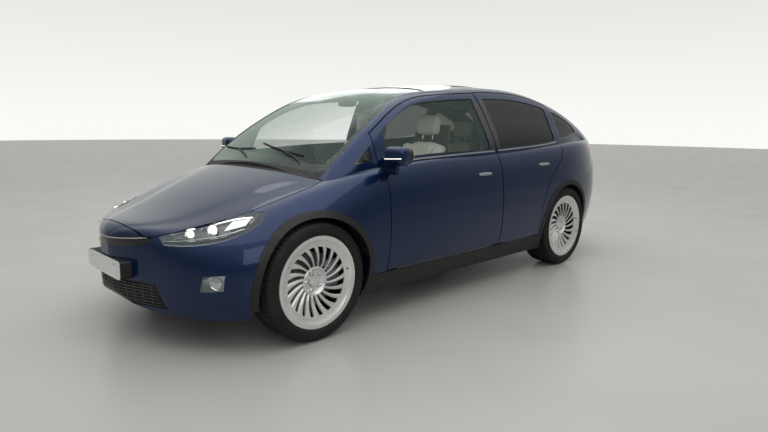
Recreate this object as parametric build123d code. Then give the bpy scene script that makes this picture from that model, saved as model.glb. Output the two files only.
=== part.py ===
from build123d import *
import os
from math import atan2, cos, degrees, pi, radians, sin, tan

import numpy as np

# A five-seat electric SUV with falcon-wing rear doors, split into the panels, glass, trim, seats
# and running gear that can be seen from any side, from below or through the glass.
# Millimetres, +Z up, nose towards -Y, the car's left side towards +X.
# The origin is on the ground, under the middle of the overall length.
# Shapes along the car are given by their station: the distance behind the nose, as drawn. Round
# each axle the drawn lengths hold. Between the axles they stretch with the wheelbase, and near the
# ends with the overhangs.

# ---- overall sizes ----
LENGTH = 5036.0
WHEELBASE = 2965.0
FRONT_OVERHANG = 912.0
FRONT_TRACK = 1661.0
REAR_TRACK = 1699.0

# ---- walls and gaps ----
SHUT_GAP = 7.0          # gap round everything that opens
SEAT_GAP = 0.3          # gap between a pane or lamp and the frame it sits in
SKIN = 12.0             # fenders and bumper skins
HOOD_WALL = 30.0
HOOD_FLANGE = 28.0      # the hood's skin reaches this far past its inner panel
DOOR_WALL = 105.0       # a door from its skin to its trim, below the belt
DOOR_FLANGE = 14.0      # a front door's skin reaches this far past its inner part at the rear
FRAME_WALL = 45.0       # window frames, pillars and roof
FLOOR_WALL = 125.0      # floor and battery tray, from the underside to the carpet
TAIL_WALL = 60.0
PILLAR_DEPTH = 58.0     # the pillar between the doors, below the belt
PILLAR_HEAD_DEPTH = 53.0
TRIM_CLEARANCE = 33.0   # from the doors' trim to the dashboard
CONSOLE_CLEARANCE = 45.0
GLASS_INSET = 6.0
GLASS_WALL = 5.0
TRIM_PROUD = 4.0        # black arch and sill trims stand this far out of the panels

# ---- wheels ----
RIM_RADIUS = 279.4      # bead seat of a 22-inch rim
RIM_FLANGE = 12.6       # height of the rim's lip above the bead seat
SIDEWALL = 93.6         # from the bead seat to the tread
TYRE_RADIUS = RIM_RADIUS + SIDEWALL
LIP_RADIUS = RIM_RADIUS + RIM_FLANGE
TYRE_WIDTH = 265.0
RIM_WIDTH = TYRE_WIDTH - 23.0
ARCH_RADIUS = TYRE_RADIUS + 29.0        # inner edge of an arch trim
ARCH_TRIM = 42.0                        # width of an arch trim
OPENING = ARCH_RADIUS + ARCH_TRIM + SEAT_GAP
LINER_OUT = ARCH_RADIUS + 18.0          # outer radius of the wheel-well liners
LINER_IN = LINER_OUT - 9.0
DISC_RADIUS = 178.0
DISC_WIDTH = 30.0
HUB_FACE = 34.0         # the wheel's mounting face, outboard of its middle
HUB_BORE = 30.6
SPINDLE_RADIUS = 30.0
UPRIGHT_X = 90.0        # the knuckle's inner face, inboard of the wheel's middle

# ---- places that several pieces share ----
SILL_TOP = 340.0
SPLIT_X = 560.0         # the roof frame ends and the body sides begin here
SPINE_HALF = 120.0      # half width of the roof spine between the falcon doors
ELBOW_DROP = 26.0       # the falcon doors split this far below the roof's corner
RAIL_DROP = 30.0        # the front doors' frames end this far below the roof's corner
COWL_X = 745.0
COWL_FRONT = 985.0
COWL_REAR = 1200.0
COWL_LOW = 940.0
FIREWALL = 1330.0       # station of the cabin side of the firewall
TAILGATE_TOP = 4060.0
CARGO_FRONT = 3480.0
TUB_X = 476.0           # half width of the front trunk's tub
WELL_X = 678.0          # half width of the cargo floor
SEAT_X = 385.0
LAMP_ANGLE = 46.0       # the headlamps' outline is seen at this angle from straight ahead

# ---- the stations as drawn ----
FRONT_AXLE = 912.0
REAR_AXLE = 3877.0
TAIL = 5036.0
KEPT = 500.0            # the drawn length is kept this far ahead of and behind each axle
DRAWN = (0.0, FRONT_AXLE - KEPT, FRONT_AXLE + KEPT, REAR_AXLE - KEPT, REAR_AXLE + KEPT, TAIL)
REAL = (0.0, FRONT_OVERHANG - KEPT, FRONT_OVERHANG + KEPT, FRONT_OVERHANG + WHEELBASE - KEPT,
        FRONT_OVERHANG + WHEELBASE + KEPT, LENGTH)


def smooth(table):
    """A curve through (station, value) pairs whose slopes never overshoot."""
    s, v = (np.array(column, float) for column in zip(*table))
    step = np.diff(s)
    slope = np.diff(v) / step
    m = np.zeros_like(v)
    m[0], m[-1] = slope[0], slope[-1]
    for i in range(1, len(s) - 1):
        if slope[i - 1] * slope[i] > 0:
            w1, w2 = 2 * step[i] + step[i - 1], step[i] + 2 * step[i - 1]
            m[i] = (w1 + w2) / (w1 / slope[i - 1] + w2 / slope[i])

    def at(x):
        i = int(np.clip(np.searchsorted(s, x) - 1, 0, len(step) - 1))
        t, h = (x - s[i]) / step[i], step[i]
        value = v[i] * (1 + 2 * t) * (1 - t) ** 2 + m[i] * h * t * (1 - t) ** 2
        return float(value + v[i + 1] * t * t * (3 - 2 * t) + m[i + 1] * h * t * t * (t - 1))

    return at


# ---- lines of the body, by station ----
half_width = smooth([(0, 60), (10, 110), (40, 215), (90, 365), (160, 550), (260, 725), (400, 868),
                     (600, 955), (912, 998), (1400, 990), (2000, 985), (2600, 985), (3200, 992),
                     (3877, 1000), (4300, 963), (4600, 876), (4800, 778), (4900, 728), (4970, 657),
                     (5010, 570), (5036, 430)])
underside = smooth([(0, 430), (10, 345), (40, 280), (90, 245), (160, 226), (260, 212), (400, 205),
                    (600, 205), (912, 205), (3877, 212), (4300, 240), (4600, 275), (4800, 310),
                    (4900, 340), (4970, 385), (5010, 440), (5036, 520)])
shoulder = smooth([(0, 615), (10, 655), (40, 690), (90, 708), (160, 716), (260, 728), (400, 760),
                   (600, 826), (912, 922), (1400, 1018), (1800, 1068), (2300, 1088), (2900, 1105),
                   (3400, 1125), (3877, 1150), (4300, 1172), (4600, 1178), (4800, 1160),
                   (4900, 1105), (4970, 1005), (5010, 895), (5036, 780)])
deck = smooth([(0, 626), (10, 668), (40, 706), (90, 727), (160, 738), (260, 756), (400, 797),
               (600, 872), (912, 984), (1060, 1036), (1300, 1082), (1600, 1120), (2900, 1150),
               (4300, 1190), (4600, 1210), (4800, 1205), (4900, 1145), (4970, 1035), (5010, 920),
               (5036, 800)])
roundness = smooth([(0, 60), (90, 150), (260, 215), (600, 240), (912, 190), (1400, 85), (3877, 85),
                    (4300, 95), (4800, 110), (5036, 110)])
roof = smooth([(1000, 1012), (1060, 1060), (1231, 1185), (1417, 1312), (1640, 1442), (1843, 1541),
               (2050, 1600), (2334, 1631), (2700, 1660), (3000, 1679), (3250, 1684), (3500, 1673),
               (3700, 1648), (3900, 1613), (4100, 1566), (4300, 1506), (4500, 1432), (4700, 1338),
               (4850, 1258), (4900, 1230)])
crown = smooth([(1000, 1.9e-4), (1060, 1.75e-4), (1231, 1.3e-4), (1640, 1.1e-4), (2334, 1.1e-4),
                (3000, 1.4e-4), (3600, 1.7e-4), (4200, 2.1e-4), (4900, 2.6e-4)])
belt_x = smooth([(1000, 808), (1060, 814), (1600, 884), (2000, 892), (2600, 912), (3200, 912),
                 (3700, 890), (4100, 845), (4500, 775), (4900, 680)])
LOWER_STATIONS = [0, 10, 40, 90, 160, 260, 400, 600, 912, 1300, 1700, 2300, 2900, 3400, 3877, 4300,
                  4600, 4800, 4900, 4970, 5010, 5036]
CABIN_STATIONS = [1040, 1100, 1160, 1240, 1400, 1600, 1800, 2000, 2200, 2400, 2600, 2800, 3000, 3200,
                  3400, 3600, 3800, 4000, 4200, 4400, 4600, 4750, 4850, 4900]
VOID_ROOT = 260.0       # the cabin's inner space runs down this far below the shoulder
CABIN_ROOT = 110.0      # the cabin loft runs down this far below the shoulder, inside the lower body
SECTION_TUCK = 85.0     # how far the sill tucks in under the widest point
CORNER_LENGTH = 70.0    # length over which the cant rail rounds from glass to roof


def y_at(station):
    """A station's place along the car, at the real overhangs and wheelbase."""
    past = max(station - TAIL, 0) + min(station, 0)
    return float(np.interp(station, DRAWN, REAL)) + past - LENGTH / 2


def hull_section(points, parameters, station):
    """A closed section: one spline over the top, one line along the bottom."""
    y = y_at(station)
    left = [(-x, z) for x, z in points[:-1]][::-1]
    mirrored = [2 - t for t in parameters[:-1]][::-1]
    over = Edge.make_spline([Vector(x, y, z) for x, z in [*points, *left]],
                            parameters=[*parameters, *mirrored])
    x, z = points[0]
    return Wire([over, Edge.make_line(Vector(-x, y, z), Vector(x, y, z))])


def lower_section(station, inset, floor):
    w = half_width(station) - inset
    bottom, crest, top = underside(station) + floor, shoulder(station) - inset, deck(station) - inset
    h = crest - bottom
    tuck = min(SECTION_TUCK, 0.12 * w)
    edge = min(roundness(station), 0.27 * w)
    flat = w - 1.6 * edge
    points = [(w - tuck, bottom), (w - 0.3 * tuck, bottom + 0.2 * h), (w, bottom + 0.47 * h),
              (w - 0.12 * edge, bottom + 0.7 * h), (w - 0.45 * edge, bottom + 0.88 * h),
              (w - 0.85 * edge, bottom + 0.97 * h), (flat, crest + 0.18 * (top - crest)),
              (0.68 * flat, crest + 0.7 * (top - crest)), (0.35 * flat, crest + 0.93 * (top - crest)),
              (0, top)]
    return hull_section(points, [0, 0.13, 0.29, 0.42, 0.51, 0.56, 0.63, 0.78, 0.89, 1], station)


hulls = {}


def clipped(hull, start, end):
    """The part of a hull between two stations."""
    return hull & block(-1200, 1200, start, end, 0, 2000)


def lower_hull(inset, floor=None, start=None, end=None):
    """The body below the glass, made smaller by inset all round and by floor underneath."""
    floor = inset if floor is None else floor
    if (inset, floor) not in hulls:
        first = 0 if inset <= 30 else 40 if inset <= 60 else 160
        ends = (first, TAIL if inset <= 60 else 4970)
        stations = [s for s in LOWER_STATIONS if ends[0] <= s <= ends[1]]
        hulls[inset, floor] = Solid.make_loft([lower_section(s, inset, floor) for s in stations])
    hull = hulls[inset, floor]
    return hull if start is None else clipped(hull, start, end)


def side_x(z, station):
    """Half width of the side glass at a height."""
    rise = z - shoulder(station)
    if rise < 0:
        return belt_x(station) + 0.1 * rise
    return belt_x(station) - 0.38 * rise - 3.0e-4 * rise * rise


def roof_z(x, station):
    """Height of the roof and windshield surface at a distance from the middle."""
    return roof(station) - crown(station) * x * x


def roof_corner(station, inset=0.0):
    """Where the side glass surface meets the roof surface."""
    low, high = 700.0, roof(station)
    for _ in range(40):
        z = (low + high) / 2
        if roof_z(side_x(z, station) - inset, station) - inset > z:
            low = z
        else:
            high = z
    return side_x(low, station) - inset, low


def cabin_section(station, inset, root):
    corner_x, corner_z = roof_corner(station, inset)
    base = shoulder(station) - root + inset
    r = min(CORNER_LENGTH, 0.4 * (corner_z - base))
    below = corner_z - 0.9 * r
    side = [(side_x(z, station) - inset, z) for z in np.linspace(base, below, 4)]
    inner = corner_x - r
    top = [(x, roof_z(x, station) - inset) for x in (inner, 0.7 * inner, 0.38 * inner, 0)]
    middle = (side[-1][0] / 4 + corner_x / 2 + top[0][0] / 4,
              side[-1][1] / 4 + corner_z / 2 + top[0][1] / 4)
    return hull_section([*side, middle, *top], [0, 0.17, 0.34, 0.5, 0.555, 0.61, 0.74, 0.87, 1], station)


def cabin_hull(inset, start=None, end=None, root=CABIN_ROOT):
    """The glasshouse, from the windshield's foot to the tail, made smaller by inset."""
    key = ("cabin", inset, root)
    if key not in hulls:
        first = 1040 if inset <= 20 else 1100 if inset <= 60 else 1240
        hulls[key] = Solid.make_loft([cabin_section(s, inset, root) for s in CABIN_STATIONS if s >= first])
    return hulls[key] if start is None else clipped(hulls[key], start, end)


# ---- outlines and prisms ----
def outline(plane, *runs):
    """A face bounded by runs of points: two points make a line, more make a spline."""
    edges = []
    for run in runs:
        points = [plane.from_local_coords(Vector(*p, 0)) for p in run]
        edges.append(Edge.make_line(*points) if len(points) == 2 else Edge.make_spline(points))
    return Face(Wire(edges))


def side_prism(x_from, x_to, *runs):
    """Runs of (station, height) points, seen from the side, carried across the car."""
    moved = [[(y_at(s), z) for s, z in run] for run in runs]
    face = outline(Plane.YZ.offset(x_from), *moved)
    return Solid.extrude(face, Vector(x_to - x_from, 0, 0))


def plan_prism(z_from, z_to, *runs):
    """Runs of (x, station) points, seen from above, carried upwards."""
    moved = [[(x, y_at(s)) for x, s in run] for run in runs]
    face = outline(Plane.XY.offset(z_from), *moved)
    return Solid.extrude(face, Vector(0, 0, z_to - z_from))


def rear_prism(s_from, s_to, *runs):
    """Runs of (x, height) points, seen along the car, carried backwards."""
    plane = Plane((0, y_at(s_from), 0), x_dir=(1, 0, 0), z_dir=(0, -1, 0))
    face = outline(plane, *runs)
    return Solid.extrude(face, Vector(0, y_at(s_to) - y_at(s_from), 0))


def block(x_from, x_to, s_from, s_to, z_from, z_to):
    """A box between stations and heights."""
    start = y_at(s_from)
    box = Solid.make_box(x_to - x_from, y_at(s_to) - start, z_to - z_from)
    return box.moved(Location((x_from, start, z_from)))


def cylinder_x(x_from, x_to, station, z, radius):
    plane = Plane((x_from, y_at(station), z), x_dir=(0, 1, 0), z_dir=(1, 0, 0))
    return Solid.make_cylinder(radius, x_to - x_from, plane)


def polygon(points):
    """Runs of straight lines round a list of points."""
    return [[a, b] for a, b in zip(points, [*points[1:], points[0]])]


def mirrored(shape):
    return shape.mirror(Plane.YZ)


def both(shape):
    """A left piece and its right twin, as one node."""
    return Compound(children=[*shape.solids(), *mirrored(shape).solids()])


def spin_x(points, x):
    """Revolves (offset along the axle, radius) points round the axle at the origin."""
    face = outline(Plane.XY, *polygon([(x + a, r) for a, r in points]))
    return Solid.revolve(face, 360, Axis.X)


parts = {}


def keep(name, shape):
    parts[name] = shape


def grown(runs, gap):
    """The same closed outline with every point moved outwards by gap, square to its edges."""
    points = [p for run in runs for p in run[:-1]]
    area = sum(a[0] * b[1] - b[0] * a[1] for a, b in zip(points, [*points[1:], points[0]]))
    turn = 1 if area > 0 else -1
    moved = {}
    for before, at, after in zip([points[-1], *points[:-1]], points, [*points[1:], points[0]]):
        a = np.subtract(at, before) / np.hypot(*np.subtract(at, before))
        b = np.subtract(after, at) / np.hypot(*np.subtract(after, at))
        corner = np.array([a[1] + b[1], -a[0] - b[0]]) * turn
        shift = corner * gap / max(0.35, 1 + a @ b)
        moved[at] = (float(at[0] + shift[0]), float(at[1] + shift[1]))
    return [[moved[p] for p in run] for run in runs]


# ---- shut lines seen from the side ----
DOOR_FRONT = [(1492, 352), (1496, 560), (1503, 800), (1500, 1000), (1490, 1130)]
B_LINE = [(2762, 1640), (2790, 1300), (2800, 1000), (2800, 700), (2792, 352)]
FALCON_REAR = [(3400, 352), (3412, 560), (3470, 740), (3585, 895), (3735, 1015), (3812, 1130),
               (3840, 1270), (3844, 1450), (3846, 1720)]


def rail(stations, drop):
    """Points that follow the cant rail, a drop below the roof's corner."""
    return [(s, roof_corner(s)[1] - drop) for s in stations]


def front_door_face(gap):
    """Outline runs of the front door, made larger all round by gap."""
    top = rail([1496, 1600, 1750, 1900, 2050, 2200, 2400, 2600, 2765], RAIL_DROP)
    back = [top[-1], *B_LINE[1:]]
    runs = [DOOR_FRONT, [DOOR_FRONT[-1], top[0]], top, back, [back[-1], DOOR_FRONT[0]]]
    return grown(runs, gap)


def falcon_side_face(gap):
    """Outline runs of the whole falcon door seen from the side, made larger by gap."""
    front = [(s + SHUT_GAP + 3, z) for s, z in B_LINE[::-1]]
    front[-1] = (front[-1][0], 1760)
    rear = [*FALCON_REAR[:-1], (FALCON_REAR[-1][0], 1760)]
    return grown([front, [front[-1], rear[-1]], rear[::-1], [rear[0], front[0]]], gap)


GLASS_FRONT_BELT = [(1560, 1088), (1800, 1104), (2100, 1118), (2400, 1126), (2712, 1134)]
GLASS_REAR_BELT = [(2868, 1141), (3200, 1153), (3560, 1172), (3775, 1190)]


def front_glass_face(gap):
    """Outline runs of the front door's window, made larger by gap."""
    belt = GLASS_FRONT_BELT
    top = rail([1600, 1750, 1900, 2050, 2200, 2400, 2700], RAIL_DROP + 42)
    top[-1] = (belt[-1][0] - 8, top[-1][1])
    return grown([belt, [belt[-1], top[-1]], top[::-1], [top[0], belt[0]]], gap)


def falcon_glass_face(gap):
    belt = GLASS_REAR_BELT
    top = rail([2850, 3100, 3400, 3780], ELBOW_DROP + 52)
    top[0] = (belt[0][0] - 14, top[0][1])
    top[-1] = (belt[-1][0] + 6, top[-1][1])
    return grown([belt, [belt[-1], top[-1]], top[::-1], [top[0], belt[0]]], gap)


def sail_glass_face(gap):
    """The small fixed pane between the windshield pillar and the front door."""
    corner = [(1300, 1068), (1448, 1085), (1448, roof_corner(1448)[1] - 85)]
    return grown(polygon(corner), gap)


def quarter_glass_face(gap):
    return grown([[(3905, 1208), (4080, 1222), (4330, 1262)], [(4330, 1262), (4290, 1318)],
                  [(4290, 1318), (4100, 1398), (3908, 1452)], [(3908, 1452), (3905, 1208)]], gap)


HOOD_EDGE = [(0, 78), (230, 88), (400, 135), (500, 215), (590, 340), (660, 480), (715, 640),
             (760, 830), (785, 1000)]
HOOD_REAR = [(770, 1078), (600, 1040), (320, 1012), (0, 1002)]


def hood_face(gap):
    """Outline runs of the hood from above, made larger by gap."""
    side = [HOOD_EDGE[-1], HOOD_REAR[0]]
    other_edge = [(-x, s) for x, s in HOOD_EDGE[1:]][::-1]
    other_rear = [(-x, s) for x, s in HOOD_REAR[:-1]][::-1]
    other_side = [other_rear[-1], other_edge[0]]
    return grown([[*other_edge, *HOOD_EDGE], side, [*HOOD_REAR, *other_rear], other_side], gap)


def lamp_prism(gap):
    """The left headlamp's outline, seen from the front corner, carried inwards."""
    along = Vector(cos(radians(LAMP_ANGLE)), sin(radians(LAMP_ANGLE)), 0)
    outward = Vector(sin(radians(LAMP_ANGLE)), -cos(radians(LAMP_ANGLE)), 0)
    plane = Plane(Vector(0, y_at(0), 0) + outward * 1400, x_dir=along, z_dir=outward)
    lower = [(452, 640), (592, 642), (740, 660), (884, 700), (1000, 762)]
    upper = [(1000, 762), (1010, 820), (965, 850)]
    crest = [(965, 850), (887, 824), (660, 765), (392, 712)]
    face = outline(plane, *grown([lower, upper, crest, [crest[-1], lower[0]]], gap))
    return Solid.extrude(face, -outward * 1300)


# ---- shapes that many pieces are cut from ----
def well_cut(station, radius, x_from=400.0, x_to=1100.0):
    return cylinder_x(x_from, x_to, station, TYRE_RADIUS, radius)


def cut(shape, *cutters):
    for cutter in cutters:
        shape = shape - cutter
    return shape


def largest(shape):
    return max(shape.solids(), key=lambda s: s.volume)


def glass_layer(start, end, spare):
    """The sheet that a window is cut from, between two stations."""
    inner = cabin_hull(GLASS_INSET + GLASS_WALL, start - spare[0], end + spare[1])
    return cabin_hull(GLASS_INSET, start, end) - inner


outer_lower = lower_hull(0)
outer_cabin = cabin_hull(0)
outer = outer_lower + outer_cabin
skin_inside = lower_hull(SKIN, SKIN, 20, 5020)
structure_hull = lower_hull(SKIN + SEAT_GAP, SKIN + SEAT_GAP, 20.3, 5019.7)
void_lower = lower_hull(DOOR_WALL, FLOOR_WALL, FIREWALL, 4800)
void_cabin = cabin_hull(FRAME_WALL, 1120, 4800, VOID_ROOT)
void_tail = lower_hull(TAIL_WALL, TAIL_WALL, 4300, 4975)
cabin_void = void_lower + void_cabin + void_tail
shell = outer - cabin_void
lower_skin = outer_lower - skin_inside
wells = [well_cut(s, OPENING) for s in (FRONT_AXLE, REAR_AXLE)]
recesses = [w - structure_hull for w in wells]
housings = [well_cut(s, LINER_OUT + SEAT_GAP) for s in (FRONT_AXLE, REAR_AXLE)]
wells += [mirrored(w) for w in wells]
side_wall = block(110, 1100, 1400, 4000, 300, 1760) & shell
door_hole = side_prism(400, 1200, *front_door_face(SHUT_GAP))
falcon_hole = side_prism(SPINE_HALF, 1200, *falcon_side_face(SHUT_GAP))
hood_hole = plan_prism(600, 1300, *hood_face(SHUT_GAP))


# ---- front doors ----
def front_door():
    """A door with its window frame. Its skin runs past its inner part over the pillar behind it."""
    step = side_prism(400, 1100, *polygon([(2744, 300), (2900, 300), (2900, 1700), (2700, 1700)]))
    step = step & (lower_hull(DOOR_FLANGE, DOOR_FLANGE, 2600, 3000) + cabin_hull(DOOR_FLANGE, 2600, 3000))
    door = side_prism(500, 1100, *front_door_face(0)) & side_wall
    return cut(door, side_prism(400, 1200, *front_glass_face(2 * SEAT_GAP)), step)


def front_pane():
    return side_prism(500, 1100, *front_glass_face(0)) & glass_layer(1400, 3100, (50, 50))


# ---- falcon doors ----
def falcon_skylight(gap):
    return plan_prism(1450, 1800, *polygon([(190 - gap, 2868 - gap), (555 + gap, 2868 - gap),
                                            (555 + gap, 3760 + gap), (190 - gap, 3760 + gap)]))


def falcon_door():
    """The lower leaf and the roof leaf of a falcon door, with their panes, by node name."""
    region = side_prism(SPINE_HALF + SHUT_GAP, 1100, *falcon_side_face(0)) & side_wall
    elbow = rail([2700, 2900, 3100, 3300, 3500, 3700, 3900], ELBOW_DROP)
    below = side_prism(400, 1150, elbow, [elbow[-1], (3900, 300)],
                       [(3900, 300), (2700, 300)], [(2700, 300), elbow[0]])
    raised = [(s, z + SHUT_GAP) for s, z in elbow]
    above = side_prism(SPINE_HALF, 1150, raised, [raised[-1], (3900, 1760)],
                       [(3900, 1760), (2700, 1760)], [(2700, 1760), raised[0]])
    layer = glass_layer(2700, 4000, (50, 50))
    leaf = (region & below) - side_prism(400, 1200, *falcon_glass_face(2 * SEAT_GAP))
    return {
        "falcon_door": leaf - well_cut(REAR_AXLE, OPENING + SHUT_GAP),
        "falcon_window": side_prism(400, 1100, *falcon_glass_face(0)) & layer,
        "falcon_roof_panel": (region & above) - falcon_skylight(SEAT_GAP),
        "falcon_roof_glass": falcon_skylight(0) & layer,
    }


# ---- hood ----
def hood():
    """A skin with a thicker inner panel set in from its edges."""
    skin = plan_prism(600, 1300, *hood_face(0)) & (outer_lower - lower_hull(8, 8, 15, 1600))
    core = lower_hull(6, 6, 14, 1600) - lower_hull(HOOD_WALL, HOOD_WALL, 20, 1650)
    return skin + (plan_prism(600, 1300, *hood_face(-HOOD_FLANGE)) & core)


# ---- front lamps ----
def fog_prism(gap):
    return rear_prism(-60, 420, *grown(polygon([(712, 392), (818, 402), (826, 492), (732, 482)]), gap))


def headlamp():
    lamp_shell = (block(0, 1100, -50, 900, 0, 1300) & outer_lower) - lower_hull(70, 70, 20, 950)
    return largest((lamp_prism(0) & lamp_shell) - hood_hole)


def fog_lamp():
    return largest(fog_prism(0) & (outer_lower - lower_hull(30, 30, 20, 900)))


# ---- front bumper, grille, fenders ----
FENDER_LINE = [(560, 640), (585, 720), (640, 1000)]
FENDER_REAR = [(1500, 560), (1512, 800), (1512, 1000), (1508, 1300)]


def nose_prism(gap):
    runs = [[(-60, 100), (500, 100)], [(500, 100), FENDER_LINE[0]], FENDER_LINE,
            [FENDER_LINE[-1], (-60, 1000)], [(-60, 1000), (-60, 100)]]
    return side_prism(-1100, 1100, *grown(runs, gap))


def grille_prism(gap):
    return rear_prism(-60, 330, *grown(polygon([(-500, 262), (500, 262), (440, 405), (-440, 405)]), gap))


def fender_prism(gap, low):
    runs = [[(400, low), (1483, low)], [(1483, low), FENDER_REAR[0]], FENDER_REAR,
            [FENDER_REAR[-1], (400, 1300)], [(400, 1300), (400, low)]]
    return side_prism(300, 1100, *grown(runs, gap))


def front_bumper(lamp_hole):
    fogs = [fog_prism(SEAT_GAP), mirrored(fog_prism(SEAT_GAP))]
    return largest(cut(nose_prism(0) & lower_skin, hood_hole, lamp_hole, mirrored(lamp_hole),
                       grille_prism(SEAT_GAP), *fogs, *wells))


def lower_grille():
    return grille_prism(0) & (lower_hull(SKIN, SKIN, 12, 400) - lower_hull(2 * SKIN, 2 * SKIN, 30, 420))


def fender(lamp_hole):
    corner = block(0, COWL_X + SEAT_GAP, COWL_FRONT, 1700, 900, 1400)
    return largest(cut(fender_prism(0, SILL_TOP) & lower_skin, nose_prism(SEAT_GAP), hood_hole, lamp_hole,
                       door_hole, wells[0], cabin_hull(-SEAT_GAP), corner))


# ---- windshield and cowl ----
def windshield_prism(gap):
    base = [(0, 1050), (320, 1062), (600, 1090), (700, 1112), (742, 1138)]
    side = [base[-1], *[(roof_corner(s)[0] - 50, s) for s in (1240, 1400, 1600, 1800, 2000, 2230)]]
    top = [side[-1], (360, 2330), (0, 2352)]
    left_base = [(-x, s) for x, s in base[1:]][::-1]
    left_top = [(-x, s) for x, s in top[:-1]][::-1]
    other_side = [(-x, s) for x, s in side]
    runs = [[*left_base, *base], side, [*top, *left_top], other_side[::-1]]
    return plan_prism(950, 1760, *grown(runs, gap))


def cowl():
    """The panel at the windshield's foot, with the tray under the wipers."""
    panel = outer - (lower_hull(40, 40, 900, 1600) + cabin_hull(40, 1120, 1600))
    panel = block(-COWL_X, COWL_X, COWL_FRONT, COWL_REAR, COWL_LOW, 1300) & panel
    panel = largest(cut(panel, hood_hole, windshield_prism(SEAT_GAP)))
    room = lower_hull(39, 39, 900, 1600) + cabin_hull(46, 1110, 1600)
    tray = block(-690, 690, 1040, 1239, 985, 1000) & room
    return largest(panel + tray)


def cowl_room():
    """The space that the cowl takes up, with its seating gap."""
    return block(-COWL_X - SEAT_GAP, COWL_X + SEAT_GAP, 900, COWL_REAR + SEAT_GAP, COWL_LOW - SEAT_GAP, 1300)


# ---- fixed side windows ----
def sail_window():
    return largest(side_prism(500, 1100, *sail_glass_face(0)) & glass_layer(1150, 1600, (10, 20)))


def quarter_window():
    return side_prism(400, 1100, *quarter_glass_face(0)) & glass_layer(3800, 4500, (50, 50))


# ---- tailgate, rear window, tail lamps ----
TAILGATE_SIDE = [(520, 800), (585, 880), (645, 1000), (668, 1150), (674, 1300), (676, 1420), (678, 1500)]


def tailgate_prism(gap):
    left = [(-x, z) for x, z in TAILGATE_SIDE]
    top = [(680, 1700), (-680, 1700)]
    runs = [TAILGATE_SIDE, [TAILGATE_SIDE[-1], top[0]], top, [top[1], left[-1]], left[::-1],
            [left[0], TAILGATE_SIDE[0]]]
    return rear_prism(TAILGATE_TOP - gap, 5150, *grown(runs, gap))


def rear_glass_prism(gap):
    side = [(575, 4190), (612, 4450), (600, 4745)]
    left = [(-x, s) for x, s in side]
    runs = [side, [side[-1], left[-1]], left[::-1], [left[0], side[0]]]
    return plan_prism(1150, 1700, *grown(runs, gap))


def tail_lamp_prism(gap):
    low = [(430, 1015), (560, 965), (760, 942), (1000, 985)]
    high = [(1000, 1090), (760, 1088), (560, 1062), (430, 1030)]
    runs = [low, [low[-1], high[0]], high, [high[-1], low[0]]]
    return rear_prism(4640 - gap, 5150, *grown(runs, gap))


tailgate_hole = tailgate_prism(SHUT_GAP)
tail_lamp_holes = [tail_lamp_prism(SEAT_GAP), mirrored(tail_lamp_prism(SEAT_GAP))]


def tail_lamps():
    """The outer lamp on the body side and the inner one on the tailgate."""
    lamp = tail_lamp_prism(0) & (outer_lower - lower_hull(40, 40, 4400, 4998))
    return largest(lamp - tailgate_hole), largest(lamp & tailgate_prism(0))


def tailgate():
    tail_shell = block(-900, 900, 4000, 5100, 700, 1700) & shell
    return largest(cut(tailgate_prism(0) & tail_shell, rear_glass_prism(SEAT_GAP), *tail_lamp_holes))


# ---- rear bumper ----
REAR_LINE = [(4260, 620), (4420, 700), (4600, 770), (4760, 850), (4880, 930)]


def tail_prism(gap):
    runs = [[(4200, 100), (5100, 100)], [(5100, 100), (5100, 930)], [(5100, 930), REAR_LINE[-1]],
            REAR_LINE[::-1], [REAR_LINE[0], (4200, 100)]]
    return side_prism(-1100, 1100, *grown(runs, gap))


# ---- body sides, roof frame, floor ----
def body_half():
    """The left half of the body shell above the sill, with every opening cut."""
    fender_zone = cut(fender_prism(SEAT_GAP, 100), structure_hull, cabin_hull(-SEAT_GAP / 2))
    pocket = HOOD_WALL + SHUT_GAP
    hood_pocket = hood_hole - lower_hull(pocket, pocket, 30, 1650)
    half = block(0, 1100, FIREWALL - 40, 5060, SILL_TOP, 1760) & shell
    root = block(COWL_X + SEAT_GAP, 1100, 1040, FIREWALL - 39, 880, 1400) & (outer_cabin - void_cabin)
    quarter_hole = side_prism(400, 1100, *quarter_glass_face(SEAT_GAP))
    sail_hole = side_prism(500, 1100, *sail_glass_face(SEAT_GAP))
    return cut(half + root, door_hole, falcon_hole, windshield_prism(SEAT_GAP), tailgate_hole, hood_pocket,
               cowl_room(), quarter_hole, sail_hole, *recesses, *housings, fender_zone,
               tail_prism(SEAT_GAP), tail_lamp_holes[0], block(-10, 690, CARGO_FRONT - 10, 5040, 300, 790))


def pillar():
    """The pillar between the doors, behind the front door's skin."""
    near, near_top = DOOR_WALL + SHUT_GAP, FRAME_WALL + SHUT_GAP
    face = lower_hull(near, FLOOR_WALL + SEAT_GAP, 2700, 2900) + cabin_hull(near_top, 2700, 2900, VOID_ROOT)
    back = lower_hull(near + PILLAR_DEPTH, FLOOR_WALL, 2650, 2950)
    back = back + cabin_hull(near_top + PILLAR_HEAD_DEPTH, 2650, 2950, VOID_ROOT)
    return block(SPLIT_X, 1000, 2744, 2850, 300, 1700) & (face - back)


def body_side(half):
    side = largest(block(SPLIT_X, 1100, 1000, 5060, SILL_TOP, 1760) & half)
    deep = FRAME_WALL + SHUT_GAP + PILLAR_HEAD_DEPTH
    head = cabin_hull(DOOR_FLANGE + SHUT_GAP) - cabin_hull(deep)
    head = block(SPLIT_X, 1000, 2724, 2762, 1530, 1650) & head
    return side + head + pillar()


def roof_frame(half):
    left = largest(block(0, SPLIT_X - SEAT_GAP, FIREWALL - 40, 5060, 1100, 1760) & half)
    return left + mirrored(left)


BATTERY = (-740, 740, 1500, 3400, 175, 288)


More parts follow.
